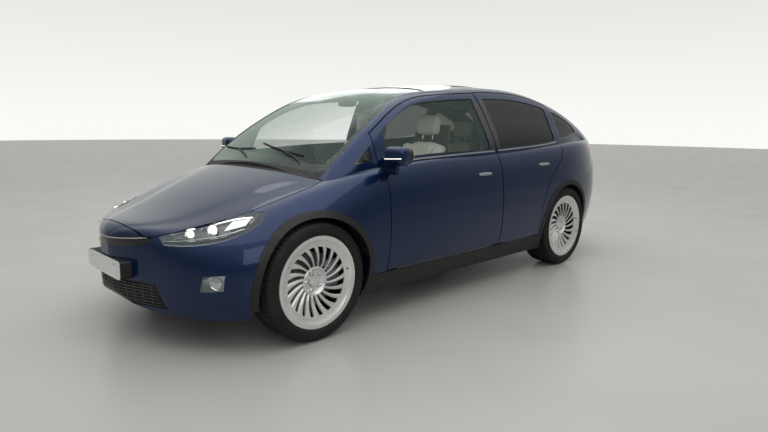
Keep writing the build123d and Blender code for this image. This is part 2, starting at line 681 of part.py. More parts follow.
def floor_pan():
    """The floor between the firewall and the cargo floor, with a pocket for the battery below."""
    box = block(-1100, 1100, FIREWALL - 40, CARGO_FRONT, 150, SILL_TOP - SEAT_GAP)
    x_from, x_to, s_from, s_to, _, z_to = BATTERY
    pocket = block(x_from - SEAT_GAP, x_to + SEAT_GAP, s_from - SEAT_GAP, s_to + SEAT_GAP, 100,
                   z_to + SEAT_GAP)
    return largest(cut(box & shell & structure_hull, *[mirrored(h) for h in housings], *housings, pocket))


def side_trim():
    """The black arch rings and the sill between them, in one piece."""
    layer = lower_hull(-TRIM_PROUD, -TRIM_PROUD, 30, 5000) - skin_inside
    rings = []
    for station in (FRONT_AXLE, REAR_AXLE):
        ring = well_cut(station, ARCH_RADIUS + ARCH_TRIM, 700) - well_cut(station, ARCH_RADIUS, 650)
        rings.append(largest(ring & layer & block(700, 1100, 0, 5060, 262, 1000)))
    sill = block(800, 1100, FRONT_AXLE + 300, REAR_AXLE - 300, 150, SILL_TOP)
    sill = largest(cut(sill & layer, *[well_cut(s, ARCH_RADIUS) for s in (FRONT_AXLE, REAR_AXLE)]))
    return rings[0] + rings[1] + sill


# ---- front and rear structure ----
def front_tub(bay):
    """The front trunk's tub with its stepped rear, open upwards."""
    tub = block(-TUB_X, TUB_X, 330, FIREWALL - 40, 470, 1100) & bay
    tub = tub - block(-TUB_X + 20, TUB_X - 20, 350, FIREWALL - 60, 490, 1200)
    tub = tub - block(-1100, 1100, COWL_FRONT - 14, 1400, 905, 1300)
    tub = tub + block(-TUB_X, TUB_X, COWL_FRONT - 14, FIREWALL - 40, 893, 905)
    return tub + (block(-TUB_X, TUB_X, COWL_FRONT - 14, COWL_FRONT - 2, 893, 1100) & bay)


def liner(station, x_inner, low):
    """Half a wheel well: a curved liner with an inner wall above the axle."""
    ring = well_cut(station, LINER_OUT, x_inner - 12) - well_cut(station, LINER_IN, x_inner)
    return (ring & block(0, 1100, station - 500, station + 500, low, 900)) & structure_hull


def front_structure():
    inset = HOOD_WALL + SHUT_GAP + 6
    side = liner(FRONT_AXLE, TUB_X + 12, 483)
    beside = block(420, TUB_X, 100, FIREWALL - 40, 430, 500) & structure_hull
    beam = block(-560, 560, 60, 115, 430, 540) & structure_hull
    support = block(-380, 380, 200, 270, 235, 640) & structure_hull
    cross = block(-TUB_X, TUB_X, 115, 340, 440, 490) & structure_hull
    half = SPLIT_X - SEAT_GAP
    bulkhead = block(-half, half, FIREWALL - 40, FIREWALL, SILL_TOP, 960 - SEAT_GAP) & structure_hull
    joined = front_tub(lower_hull(inset, inset, 40, 1700)) + side + mirrored(side)
    joined = joined + beside + mirrored(beside)
    return joined + beam + cross + support + bulkhead


def rear_structure():
    """Cargo floor, its front riser, the rear wheel liners and the wall behind the bumper."""
    side = liner(REAR_AXLE, WELL_X + 12, 555)
    front = CARGO_FRONT + SEAT_GAP
    cargo_floor = block(-WELL_X, WELL_X, front, 4900, 560, 585) & structure_hull
    rear_room = lower_hull(TAIL_WALL - 1, TAIL_WALL, 4200, 4976)
    cargo_rear = block(-WELL_X, WELL_X, 4800, 4976, 560, 585) & rear_room
    room = lower_hull(TAIL_WALL + SEAT_GAP, TAIL_WALL, 4200, 4970)
    side_floor = block(WELL_X - 1, 900, 4299, 4800, 560, 585) & room
    riser = block(-WELL_X, WELL_X, front, 3505, 215, 585)
    inside = lower_hull(TAIL_WALL, TAIL_WALL, 4700, 4975)
    tail_wall = block(-900, 900, 4800, 5060, 400, 790) & (structure_hull - inside)
    joined = cargo_floor + cargo_rear + riser + side + mirrored(side) + tail_wall
    return joined + side_floor + mirrored(side_floor)


# ---- running gear ----
def front_arm():
    face = outline(Plane.XY.offset(222), *polygon([(395, y_at(860)), (730, y_at(895)), (730, y_at(935)),
                                                   (395, y_at(1010))]))
    return Solid.extrude(face, Vector(0, 0, 26))


def front_subframe():
    cross = block(-400, 400, 850, 1020, 215, 285)
    post = block(400, TUB_X, 870, 960, 215, 430 - SEAT_GAP)
    rack = cylinder_x(-480, 480, 1075, 330, 26) + block(-300, -240, 1000, 1090, 250, 335)
    frame = cross + (rack + block(240, 300, 1000, 1090, 250, 335))
    for piece in (front_arm(), post):
        frame = frame + piece + mirrored(piece)
    return frame


def upright(station, track):
    """The knuckle and hub that one wheel turns on, with its brake calliper."""
    middle, centre = track / 2, TYRE_RADIUS
    spindle = cylinder_x(middle - UPRIGHT_X, middle + HUB_FACE + 20, station, centre, SPINDLE_RADIUS)
    plate = cylinder_x(middle - UPRIGHT_X, middle - 20, station, centre, 75)
    tall = block(middle - UPRIGHT_X, middle - UPRIGHT_X + 36, station - 38, station + 38,
                 centre - 120, centre + 190)
    disc_from = middle + HUB_FACE - DISC_WIDTH - 4
    jaw = cylinder_x(disc_from - 34, middle + HUB_FACE + 14, station, centre, DISC_RADIUS + 36)
    jaw = jaw - cylinder_x(disc_from - 50, 1200, station, centre, DISC_RADIUS - 60)
    jaw = jaw - cylinder_x(disc_from - 8, middle + HUB_FACE + 4, station, centre, DISC_RADIUS + 8)
    jaw = jaw & block(600, 1100, station + 90, station + 230, centre - 75, centre + 110)
    bridge = block(middle - UPRIGHT_X + 4, disc_from - 9, station, station + 150, centre - 20, centre + 40)
    return spindle + plate + tall + jaw + bridge


def rear_subframe():
    near, far = REAR_AXLE - 60, REAR_AXLE + 60
    low, high = TYRE_RADIUS - 118, TYRE_RADIUS + 172
    side_rail = block(400, 470, 3505, 4290, 380, 450)
    post = block(400, 470, 3700, 3800, 449, 560 - SEAT_GAP)
    lower_link = block(460, 765, near, far, low, low + 25)
    upper_link = block(460, 765, REAR_AXLE - 30, REAR_AXLE + 30, high - 25, high)
    link_post = block(400, 470, near, far, low, high)
    side = upright(REAR_AXLE, REAR_TRACK) + side_rail + post + lower_link + upper_link + link_post
    cross = block(-405, 405, 3600, 3680, 300, 449)
    return side + mirrored(side) + cross + block(-405, 405, 4120, 4200, 300, 449)


def drive_units():
    front = cylinder_x(-230, 160, 950, 375, 85) + block(-60, 60, 840, 1000, 286, 465)
    front = front + block(-40, 40, 860, 1000, 285 + SEAT_GAP, 300)
    rear = cylinder_x(-300, 200, 3890, 400, 130) + block(-80, 80, 3680 + SEAT_GAP, 4120 - SEAT_GAP, 310, 470)
    return Compound(children=[*front.solids(), *rear.solids()])


# ---- wheels, made round the X axis at the origin ----
def wheel_solid():
    """Rim, ten blunt spokes and hub."""
    half, lip = RIM_WIDTH / 2, LIP_RADIUS
    barrel = spin_x([(-half, lip - 26), (-half, lip), (-half + 10, lip), (-half + 18, RIM_RADIUS),
                     (half - 18, RIM_RADIUS), (half - 10, lip), (half, lip), (half, lip - 22),
                     (half - 14, lip - 28), (-half + 14, lip - 28)], 0)
    ring = lip - 87
    face = spin_x([(HUB_FACE, HUB_BORE), (HUB_FACE + 34, HUB_BORE), (HUB_FACE + 34, 60), (98, ring),
                   (106, lip - 22), (80, lip - 22), (76, ring), (50, 75), (HUB_FACE, 75)], 0)
    hole = spin_x([(20, 118), (120, 118), (120, ring - 3), (20, ring - 3)], 0)
    wheel = barrel + (face - hole)
    for i in range(10):
        spoke = Solid.make_box(20, 30, ring - 107).moved(Location((66, -15, 112)))
        wheel = wheel + spoke.rotate(Axis.X, 36 * i)
    return wheel


def disc_solid():
    inner, outer_face = HUB_FACE - DISC_WIDTH - 4, HUB_FACE - SEAT_GAP
    return spin_x([(inner, HUB_BORE), (outer_face, HUB_BORE), (outer_face, 90), (HUB_FACE - 4, 100),
                   (HUB_FACE - 4, DISC_RADIUS), (inner, DISC_RADIUS)], 0)


def tyre_solid():
    half, r = TYRE_WIDTH / 2, TYRE_RADIUS
    rim_half = RIM_WIDTH / 2
    bead, side = RIM_RADIUS + SEAT_GAP, LIP_RADIUS + 1
    return spin_x([(-rim_half + 19, bead), (-rim_half + 10 + SEAT_GAP, side), (-half + 6, side + 5),
                   (-half, r - 55), (-half + 3, r - 31), (-half + 12, r - 10), (-half + 30, r - 2),
                   (-40, r), (40, r), (half - 30, r - 2), (half - 12, r - 10), (half - 3, r - 31),
                   (half, r - 55), (half - 6, side + 5), (rim_half - 10 - SEAT_GAP, side),
                   (rim_half - 19, bead)], 0)


def keep_wheels():
    shapes = {"wheel": wheel_solid(), "brake_disc": disc_solid(), "tyre": tyre_solid()}
    for axle, station, track in (("front", FRONT_AXLE, FRONT_TRACK), ("rear", REAR_AXLE, REAR_TRACK)):
        place = Location((track / 2, y_at(station), TYRE_RADIUS))
        for name, shape in shapes.items():
            moved = shape.moved(place)
            keep(f"{name}_{axle}_left", moved)
            keep(f"{name}_{axle}_right", mirrored(moved))


# ---- cabin ----
def dashboard():
    """Dashboard across the car with the console that runs back from it."""
    room = lower_hull(DOOR_WALL + TRIM_CLEARANCE, FLOOR_WALL, FIREWALL + SEAT_GAP, 3000)
    room = room + cabin_hull(FRAME_WALL + 40, 1240, 3000)
    bar = side_prism(-840, 840, [(1240, 640), (1240, 1062)],
                     [(1240, 1062), (1420, 1076), (1700, 1040), (1790, 960)],
                     [(1790, 960), (1775, 820), (1620, 700), (1500, 640)], [(1500, 640), (1240, 640)])
    bar = (bar & room) - block(-1100, 1100, 1200, FIREWALL + SEAT_GAP, 200, 960 + SEAT_GAP)
    console = block(-105, 105, 1500, 2450, 300, 560) & floor_room()
    tower = block(-105, 105, 1500, 1680, 500, 760)
    return largest(bar + console + tower - cowl_room())


def floor_room():
    """The space above the carpet and inside the doors."""
    return lower_hull(DOOR_WALL + CONSOLE_CLEARANCE, FLOOR_WALL + SEAT_GAP)


def rounded_box(x_size, y_size, z_size, radius):
    return fillet(Box(x_size, y_size, z_size).edges(), radius)


def seat(width, hip, back_height, x):
    """A seat facing the nose, with the hip at a station."""
    y = y_at(hip)
    cushion = rounded_box(width, 540, 150, 40).moved(Location((x, y - 240, 555), (-4, 0, 0)))
    back = rounded_box(width, 140, back_height, 45)
    back = back.moved(Location((x, y + 115, 560 + back_height / 2), (-18, 0, 0)))
    head = rounded_box(250, 105, 180, 40)
    head = head.moved(Location((x, y + 225, 605 + back_height + 60), (-10, 0, 0)))
    post = Cylinder(14, 200).moved(Location((x, y + 212, 605 + back_height - 60), (-14, 0, 0)))
    return cushion + back + head + post


def front_seat():
    base = block(SEAT_X - 200, SEAT_X + 200, 1960, 2330, 300, 520) & floor_room()
    return seat(520, 2330, 660, SEAT_X) + base


def rear_seats():
    bench = block(-660, 660, 2980, 3450, 300, 540) & floor_room()
    for x in (-440, 0, 440):
        bench = bench + seat(436, 3300, 620, x).moved(Location((0, 0, 0)))
    return bench


def steering_wheel(dash):
    """Rim, spoke, boss and column, tilted towards the driver."""
    plane = Plane((SEAT_X, y_at(1950), 985), x_dir=(1, 0, 0), z_dir=(0, 0.9, 0.436))
    shaft = Solid.make_cylinder(32, 190, Plane(plane.origin, x_dir=(1, 0, 0), z_dir=(0, -0.9, -0.436)))
    spoke = Solid.make_box(340, 34, 14).moved(Location((-170, -17, -7)))
    boss = Solid.make_cylinder(62, 40, Plane(plane.origin - plane.z_dir * 20, z_dir=plane.z_dir))
    joined = Solid.make_torus(178, 16, plane) + shaft + spoke.moved(plane.location) + boss
    return largest(joined - dash)


# ---- door mirrors ----
def mirror():
    housing = rounded_box(165, 120, 125, 42).moved(Location((1052, y_at(1478), 1128), (0, 0, 8)))
    foot = block(870, 1010, 1507, 1540, 1000, 1105)
    body = lower_hull(-SEAT_GAP, 0, 1300, 1700)
    return largest(cut(housing + foot, body, cabin_hull(-SEAT_GAP, 1200, 1700)))


# ---- every piece by its node name ----
def keep_pair(name, shape):
    """A left piece and its right twin, as two nodes."""
    keep(f"{name}_left", shape)
    keep(f"{name}_right", mirrored(shape))


def keep_panels():
    lamp_hole = lamp_prism(SEAT_GAP)
    keep_pair("front_door", front_door())
    keep_pair("front_window", front_pane())
    for name, shape in falcon_door().items():
        keep_pair(name, shape)
    keep("hood", hood())
    keep("headlamps", both(headlamp()))
    keep("fog_lamps", both(fog_lamp()))
    keep("front_bumper", front_bumper(lamp_hole))
    keep("lower_grille", lower_grille())
    keep("front_fenders", both(fender(lamp_hole)))
    keep("windshield", largest(windshield_prism(0) & glass_layer(1044, 2500, (2, 50))))
    keep("cowl", cowl())
    keep("sail_windows", both(sail_window()))
    keep("quarter_windows", both(quarter_window()))
    outer_lamp, gate_lamp = tail_lamps()
    keep("tail_lamps", both(outer_lamp))
    keep("tailgate_lamps", both(gate_lamp))
    keep("tailgate", tailgate())
    keep("rear_window", rear_glass_prism(0) & glass_layer(4100, 4850, (50, 10)))
    keep("rear_bumper", largest(cut(tail_prism(0) & lower_skin, tailgate_hole, *tail_lamp_holes, *wells)))
    keep_pair("mirror", mirror())


def keep_body():
    half = body_half()
    keep_pair("body_side", body_side(half))
    keep("roof_frame", roof_frame(half))
    keep("floor_pan", floor_pan())
    keep("battery_pack", block(*BATTERY))
    keep("arch_trims", both(side_trim()))
    keep("front_structure", front_structure())
    keep("rear_structure", rear_structure())


def keep_running_gear():
    keep("front_subframe", front_subframe())
    keep_pair("front_knuckle", upright(FRONT_AXLE, FRONT_TRACK))
    keep("rear_subframe", rear_subframe())
    keep("drive_units", drive_units())
    keep_wheels()


def keep_cabin():
    dash = dashboard()
    keep("dashboard", dash)
    keep("front_seats", both(front_seat()))
    keep("rear_seats", rear_seats())
    keep("steering_wheel", steering_wheel(dash))


keep_panels()
keep_body()
keep_running_gear()
keep_cabin()
os.makedirs("parts", exist_ok=True)
for name, shape in parts.items():
    export_step(shape, f"parts/{name}.step")
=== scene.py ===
"""Materials, detailed pieces, studio and camera for an electric SUV with falcon-wing rear doors.

Every new shape is a numpy surface: a function of two parameters on a grid, or a profile carried
along a path. All lengths are in metres, with +Z up, the nose towards -Y and the car's left
side towards +X.
"""

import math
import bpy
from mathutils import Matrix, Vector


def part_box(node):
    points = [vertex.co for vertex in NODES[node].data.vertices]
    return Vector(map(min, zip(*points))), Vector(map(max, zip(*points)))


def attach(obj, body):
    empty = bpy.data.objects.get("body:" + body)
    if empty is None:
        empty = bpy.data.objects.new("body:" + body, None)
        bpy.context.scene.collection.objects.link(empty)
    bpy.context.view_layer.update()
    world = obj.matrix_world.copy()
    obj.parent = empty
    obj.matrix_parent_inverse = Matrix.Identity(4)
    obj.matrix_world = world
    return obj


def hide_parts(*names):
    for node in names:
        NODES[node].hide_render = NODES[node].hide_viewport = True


bl_info = {
    "name": "Electric SUV studio",
    "version": (1, 0, 0),
    "blender": (4, 5, 0),
    "location": "3D View > Sidebar > Electric SUV",
    "description": "Finishes, seats, wheels, lamps and studio for a falcon-wing electric SUV",
    "category": "Object",
}

import bmesh
import bpy
import numpy as np
from bpy.props import FloatProperty, FloatVectorProperty, IntProperty, PointerProperty
from mathutils import Matrix, Vector

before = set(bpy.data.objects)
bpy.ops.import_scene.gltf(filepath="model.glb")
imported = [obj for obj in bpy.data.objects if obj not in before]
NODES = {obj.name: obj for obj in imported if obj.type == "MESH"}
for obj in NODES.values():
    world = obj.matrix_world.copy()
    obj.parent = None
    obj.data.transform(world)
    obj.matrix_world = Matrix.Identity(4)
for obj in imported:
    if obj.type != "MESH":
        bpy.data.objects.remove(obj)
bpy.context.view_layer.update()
SIDES = {"left": 1.0, "right": -1.0}


def node_box(name):
    """Lowest and highest corner of a CAD node as numpy arrays."""
    low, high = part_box(name)
    return np.array(low), np.array(high)


WHEELS = {}
for axle in ("front", "rear"):
    for side, sign in SIDES.items():
        low, high = node_box(f"tyre_{axle}_{side}")
        WHEELS[f"{axle}_{side}"] = ((low + high) / 2, (high - low)[0], (high - low)[2] / 2, sign)


AHEAD, OUTSIDE, INSIDE, ABOVE = -3.0, 1.3, 0.3, 1.9  # planes from which points are laid on the body
FAR = 3.2  # how far in front of and behind the middle some points are laid from
WELD = 1e-5  # points closer than this become one


# ---- surfaces ----
def coords(*parts):
    """Points whose coordinates are arrays or plain numbers, spread over each other's rows and columns."""
    return np.stack(np.broadcast_arrays(*parts), -1)


def bent(value, exponent):
    """A value raised to a power with its sign kept."""
    return np.sign(value) * np.abs(value) ** exponent


def rounded_square(power, count):
    """Points round a square of side 2: cosine and sine of t, each raised to a power with its sign kept."""
    t = np.linspace(0, 2 * math.pi, count, endpoint=False)
    return coords(bent(np.cos(t), power), bent(np.sin(t), power))


def grid_faces(rows, columns, wrap_rows=False, wrap_columns=False):
    """Quads between neighbouring rows and columns of a grid of points, row after row."""
    i = np.arange(rows if wrap_rows else rows - 1)
    j = np.arange(columns if wrap_columns else columns - 1)
    i, j = np.meshgrid(i, j, indexing="ij")
    a, b = i * columns + j, i * columns + (j + 1) % columns
    c, d = (i + 1) % rows * columns + (j + 1) % columns, (i + 1) % rows * columns + j
    return np.stack([a, d, c, b], -1).reshape(-1, 4)


def grid(points, wrap_rows=False, wrap_columns=False):
    """A surface given as rows of points: its vertices and its quads."""
    rows, columns = points.shape[:2]
    return points.reshape(-1, 3), grid_faces(rows, columns, wrap_rows, wrap_columns)


def joined(pieces):
    """Several (vertices, faces) pairs as one."""
    vertices, faces, start = [], [], 0
    for points, quads in pieces:
        vertices.append(points)
        faces += (np.asarray(quads) + start).tolist()
        start += len(points)
    return np.concatenate(vertices), faces


def copies(surface, matrices):
    """A (vertices, faces) pair repeated by a stack of 4 by 4 matrices."""
    points, quads = surface
    matrices = np.asarray(matrices)
    padded = np.c_[points, np.ones(len(points))]
    moved = np.einsum("nij,vj->nvi", matrices, padded)[..., :3].reshape(-1, 3)
    steps = np.arange(len(matrices))[:, None, None] * len(points)
    return moved, (np.asarray(quads)[None] + steps).reshape(-1, np.asarray(quads).shape[1])


def piece(name, surface, body, finish, smooth=35, weld=True):
    """A mesh object at the origin that rides on a CAD body, with its faces turned outwards. It is shaded
    smooth, apart from edges sharper than the angle smooth."""
    points, faces = surface
    mesh = bpy.data.meshes.new(name)
    faces = faces if isinstance(faces, list) else faces.tolist()
    mesh.from_pydata(np.asarray(points, float).tolist(), [], faces)
    if weld:
        work = bmesh.new()
        work.from_mesh(mesh)
        bmesh.ops.remove_doubles(work, verts=work.verts, dist=WELD)
        bmesh.ops.dissolve_degenerate(work, edges=work.edges, dist=1e-6)
        bmesh.ops.recalc_face_normals(work, faces=work.faces)
        work.to_mesh(mesh)
        work.free()
    obj = bpy.data.objects.new(name, mesh)
    bpy.context.scene.collection.objects.link(obj)
    if smooth:
        mesh.shade_smooth()
        mesh.set_sharp_from_angle(angle=math.radians(smooth))
    mesh.materials.append(FINISH[finish])
    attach(obj, body)
    return obj


def pair(name, surface, body, finish, smooth=35):
    """A piece on the left and its mirror twin on the right, each on the body of its own side."""
    for side in SIDES:
        shape = surface if side == "left" else placed(MIRROR_X, surface)
        piece(f"{name}_{side}", shape, body if body == "body" else f"{body}_{side}", finish, smooth)


def bevelled(obj, width, segments=2, angle=40):
    """Rounds an object's sharp edges."""
    bevel = obj.modifiers.new("edges", "BEVEL")
    bevel.width, bevel.segments = width, segments
    bevel.limit_method, bevel.angle_limit = "ANGLE", math.radians(angle)
    return obj


def placed(matrix, surface):
    """A surface moved by one matrix."""
    return copies(surface, [matrix])


def turned(axis, angle, centre=(0, 0, 0)):
    """Rotation by an angle about an axis through a centre, as a 4 by 4 array."""
    move = Matrix.Translation(centre)
    return np.array(move @ Matrix.Rotation(angle, 4, axis) @ move.inverted())


def shifted(x, y, z):
    """A move as a 4 by 4 array."""
    return np.array(Matrix.Translation((x, y, z)))


def facing(direction):
    """Turns a shape made round the X axis so that X points along a direction, as a 4 by 4 array."""
    unit = np.asarray(direction, float) / np.linalg.norm(direction)
    return np.array(Vector(unit).to_track_quat("X", "Z").to_matrix().to_4x4())


def tipped(x, y, z, degrees):
    """Puts a flat shape at a place, tipped about the car's X axis, as a 4 by 4 array."""
    return shifted(x, y, z) @ turned("X", math.radians(degrees))


MIRROR_X = np.diag([-1.0, 1.0, 1.0, 1.0])


def lathe(profile, count=96, axis="X", closed=True):
    """Turns (offset along the axle, radius) points round the axle: point = offset on the axle plus
    radius times (cos t, sin t) across it, with t from 0 to a full turn."""
    offset, radius = np.asarray(profile, float).T[..., None]
    t = np.linspace(0, 2 * math.pi, count, endpoint=False)
    ring = radius * np.cos(t), radius * np.sin(t)
    points = coords(offset, *ring) if axis == "X" else coords(*ring, offset)
    return grid(points, wrap_rows=closed, wrap_columns=True)


def box_surface(low, high):
    """A closed box between two corners."""
    low, high = np.asarray(low, float), np.asarray(high, float)
    bits = np.array([[(i >> k) & 1 for k in range(3)] for i in range(8)])
    faces = np.array([[0, 2, 3, 1], [4, 5, 7, 6], [0, 1, 5, 4], [2, 6, 7, 3], [0, 4, 6, 2], [1, 3, 7, 5]])
    return low + bits * (high - low), faces


def superellipsoid(size, power, count=(28, 48), at=(0, 0, 0)):
    """A rounded box at a place: x = a c(v) c(u), y = b c(v) s(u), z = h s(v), where c and s are cosine
    and sine raised to a power with their sign kept."""
    u = np.linspace(-math.pi, math.pi, count[1], endpoint=False)
    v = np.linspace(-math.pi / 2, math.pi / 2, count[0])[:, None]
    flat = bent(np.cos(v), power[1])
    x = size[0] / 2 * flat * bent(np.cos(u), power[0])
    y = size[1] / 2 * flat * bent(np.sin(u), power[0])
    z = size[2] / 2 * bent(np.sin(v), power[1])
    return placed(shifted(*at), grid(coords(x, y, z), wrap_columns=True))


def frames_along(path, up=(0, 0, 1)):
    """Two unit vectors across a path at each of its points."""
    path = np.asarray(path, float)
    tangent = np.gradient(path, axis=0)
    tangent /= np.linalg.norm(tangent, axis=1, keepdims=True) + 1e-12
    side = np.cross(tangent, np.asarray(up, float))
    side /= np.linalg.norm(side, axis=1, keepdims=True) + 1e-12
    return side, np.cross(side, tangent)


def swept(path, profile, up=(0, 0, 1), closed=False):
    """A closed profile of (across, up) points carried along a path, square to it."""
    path, profile = np.asarray(path, float), np.asarray(profile, float)
    side, top = frames_along(path, up)
    points = path[:, None] + side[:, None] * profile[None, :, :1] + top[:, None] * profile[None, :, 1:]
    if closed:
        return grid(points, wrap_rows=True, wrap_columns=True)
    ends = [np.repeat(path[:1, None], len(profile), 1), np.repeat(path[-1:, None], len(profile), 1)]
    return grid(np.concatenate([ends[0], points, ends[1]]), wrap_columns=True)


def ring_profile(radius, count=10, flat=1.0):
    """Points round a circle, or round an ellipse when flat isn't 1."""
    t = np.linspace(0, 2 * math.pi, count, endpoint=False)
    return coords(radius * np.cos(t), radius * flat * np.sin(t))


def smooth_path(points, count):
    """A Catmull-Rom curve through points: each piece blends its four nearest points by cubics."""
    p = np.asarray(points, float)
    p = np.concatenate([2 * p[:1] - p[1:2], p, 2 * p[-1:] - p[-2:-1]])
    t = np.linspace(0, len(p) - 3 - 1e-9, count)
    i, f = t.astype(int), (t % 1)[:, None]
    a, b, c, d = p[i], p[i + 1], p[i + 2], p[i + 3]
    return 0.5 * (2 * b + (c - a) * f + (2 * a - 5 * b + 4 * c - d) * f**2 + (3 * b - a - 3 * c + d) * f**3)


# ---- finishes ----
def linear(colour):
    """A displayed colour from 0 to 1 as the linear colour that shaders take."""
    c = np.asarray(colour[:3], float)
    return np.where(c <= 0.04045, c / 12.92, ((c + 0.055) / 1.055) ** 2.4)


class Finish:
    """A material under construction: a Principled shader and the nodes that feed it."""

    def __init__(self, name, colour, roughness, metallic=0.0, **plain):
        self.material = bpy.data.materials.new(name)
        self.material.use_nodes = True
        self.tree = self.material.node_tree
        self.shader = self.tree.nodes["Principled BSDF"]
        self.colour = linear(colour)
        self.shader.inputs["Base Color"].default_value = (*self.colour, 1)
        self.shader.inputs["Roughness"].default_value = roughness
        self.shader.inputs["Metallic"].default_value = metallic
        for socket, value in plain.items():
            self.shader.inputs[socket.replace("_", " ")].default_value = value
        self.where = self.node("ShaderNodeTexCoord").outputs["Object"]

    def node(self, kind, **values):
        made = self.tree.nodes.new(kind)
        for key, value in values.items():
            if key in made.inputs:
                made.inputs[key].default_value = value
            else:
                setattr(made, key, value)
        return made

    def link(self, a, b):
        self.tree.links.new(a, b)

    def noise(self, scale, detail=4.0, roughness=0.5, at=None):
        noise = self.node("ShaderNodeTexNoise", Scale=scale, Detail=detail, Roughness=roughness)
        self.link(at or self.where, noise.inputs["Vector"])
        return noise.outputs["Fac"]

    def cells(self, scale, feature="F1", at=None):
        cells = self.node("ShaderNodeTexVoronoi", Scale=scale)
        cells.feature = feature
        self.link(at or self.where, cells.inputs["Vector"])
        return cells.outputs["Distance"]

    def waves(self, scale, distortion=0.0, direction="X", at=None):
        waves = self.node("ShaderNodeTexWave", Scale=scale, Distortion=distortion)
        waves.bands_direction = direction
        self.link(at or self.where, waves.inputs["Vector"])
        return waves.outputs["Fac"]

    def ranged(self, value, low, high, start=0.3, end=0.7):
        """Maps a pattern's start..end to low..high."""
        out = self.node("ShaderNodeMapRange")
        for key, number in zip(("From Min", "From Max", "To Min", "To Max"), (start, end, low, high)):
            out.inputs[key].default_value = number
        self.link(value, out.inputs["Value"])
        return out.outputs["Result"]

    def mottled(self, value, spread=0.15, other=None):
        """Drifts the colour with a pattern, darker to lighter or towards another colour."""
        ramp = self.node("ShaderNodeValToRGB")
        first, second = ramp.color_ramp.elements
        first.position, second.position = 0.3, 0.7
        dark = self.colour * (1 - spread) if other is None else linear(other)
        first.color = (*dark, 1)
        second.color = (*np.clip(self.colour * (1 + (spread if other is None else 0)), 0, 1), 1)
        self.link(value, ramp.inputs["Fac"])
        self.link(ramp.outputs["Color"], self.shader.inputs["Base Color"])
        return self

    def worn(self, value, low, high):
        """Lets roughness follow a pattern between two values."""
        self.link(self.ranged(value, low, high), self.shader.inputs["Roughness"])
        return self

    def bumped(self, value, strength, distance=0.001):
        """Adds relief from a pattern on top of any relief already there."""
        bump = self.node("ShaderNodeBump", Strength=strength, Distance=distance)
        self.link(value, bump.inputs["Height"])
        old = self.shader.inputs["Normal"].links
        if old:
            self.link(old[0].from_socket, bump.inputs["Normal"])
        self.link(bump.outputs["Normal"], self.shader.inputs["Normal"])
        return self


def paint_finish(look):
    """Metallic paint: flakes under a clear coat that has a trace of orange peel."""
    f = Finish("deep_blue_metallic_paint", look.body_colour, 0.34, 0.6,
               Coat_Weight=1.0, Coat_Roughness=0.03, Coat_IOR=1.33, Specular_IOR_Level=0.2)
    f.mottled(f.cells(2600.0), 0.35)
    f.worn(f.noise(900.0, 2.0), 0.28, 0.42)
    return f.bumped(f.noise(70.0, 2.0), 0.02).material


def glass_finish(name, colour, clear):
    """Car glass as a thin tinted sheet: mostly see-through face on, more mirror-like at a slant."""
    f = Finish(name, colour, 0.02, 0.0, Specular_IOR_Level=0.6)
    slant = f.node("ShaderNodeLayerWeight", Blend=0.5)
    seen = f.ranged(slant.outputs["Facing"], 1 - clear, 0.9, 0.55, 1.0)
    f.link(seen, f.shader.inputs["Alpha"])
    f.mottled(f.noise(3.0, 1.0), 0.03)
    return f.material


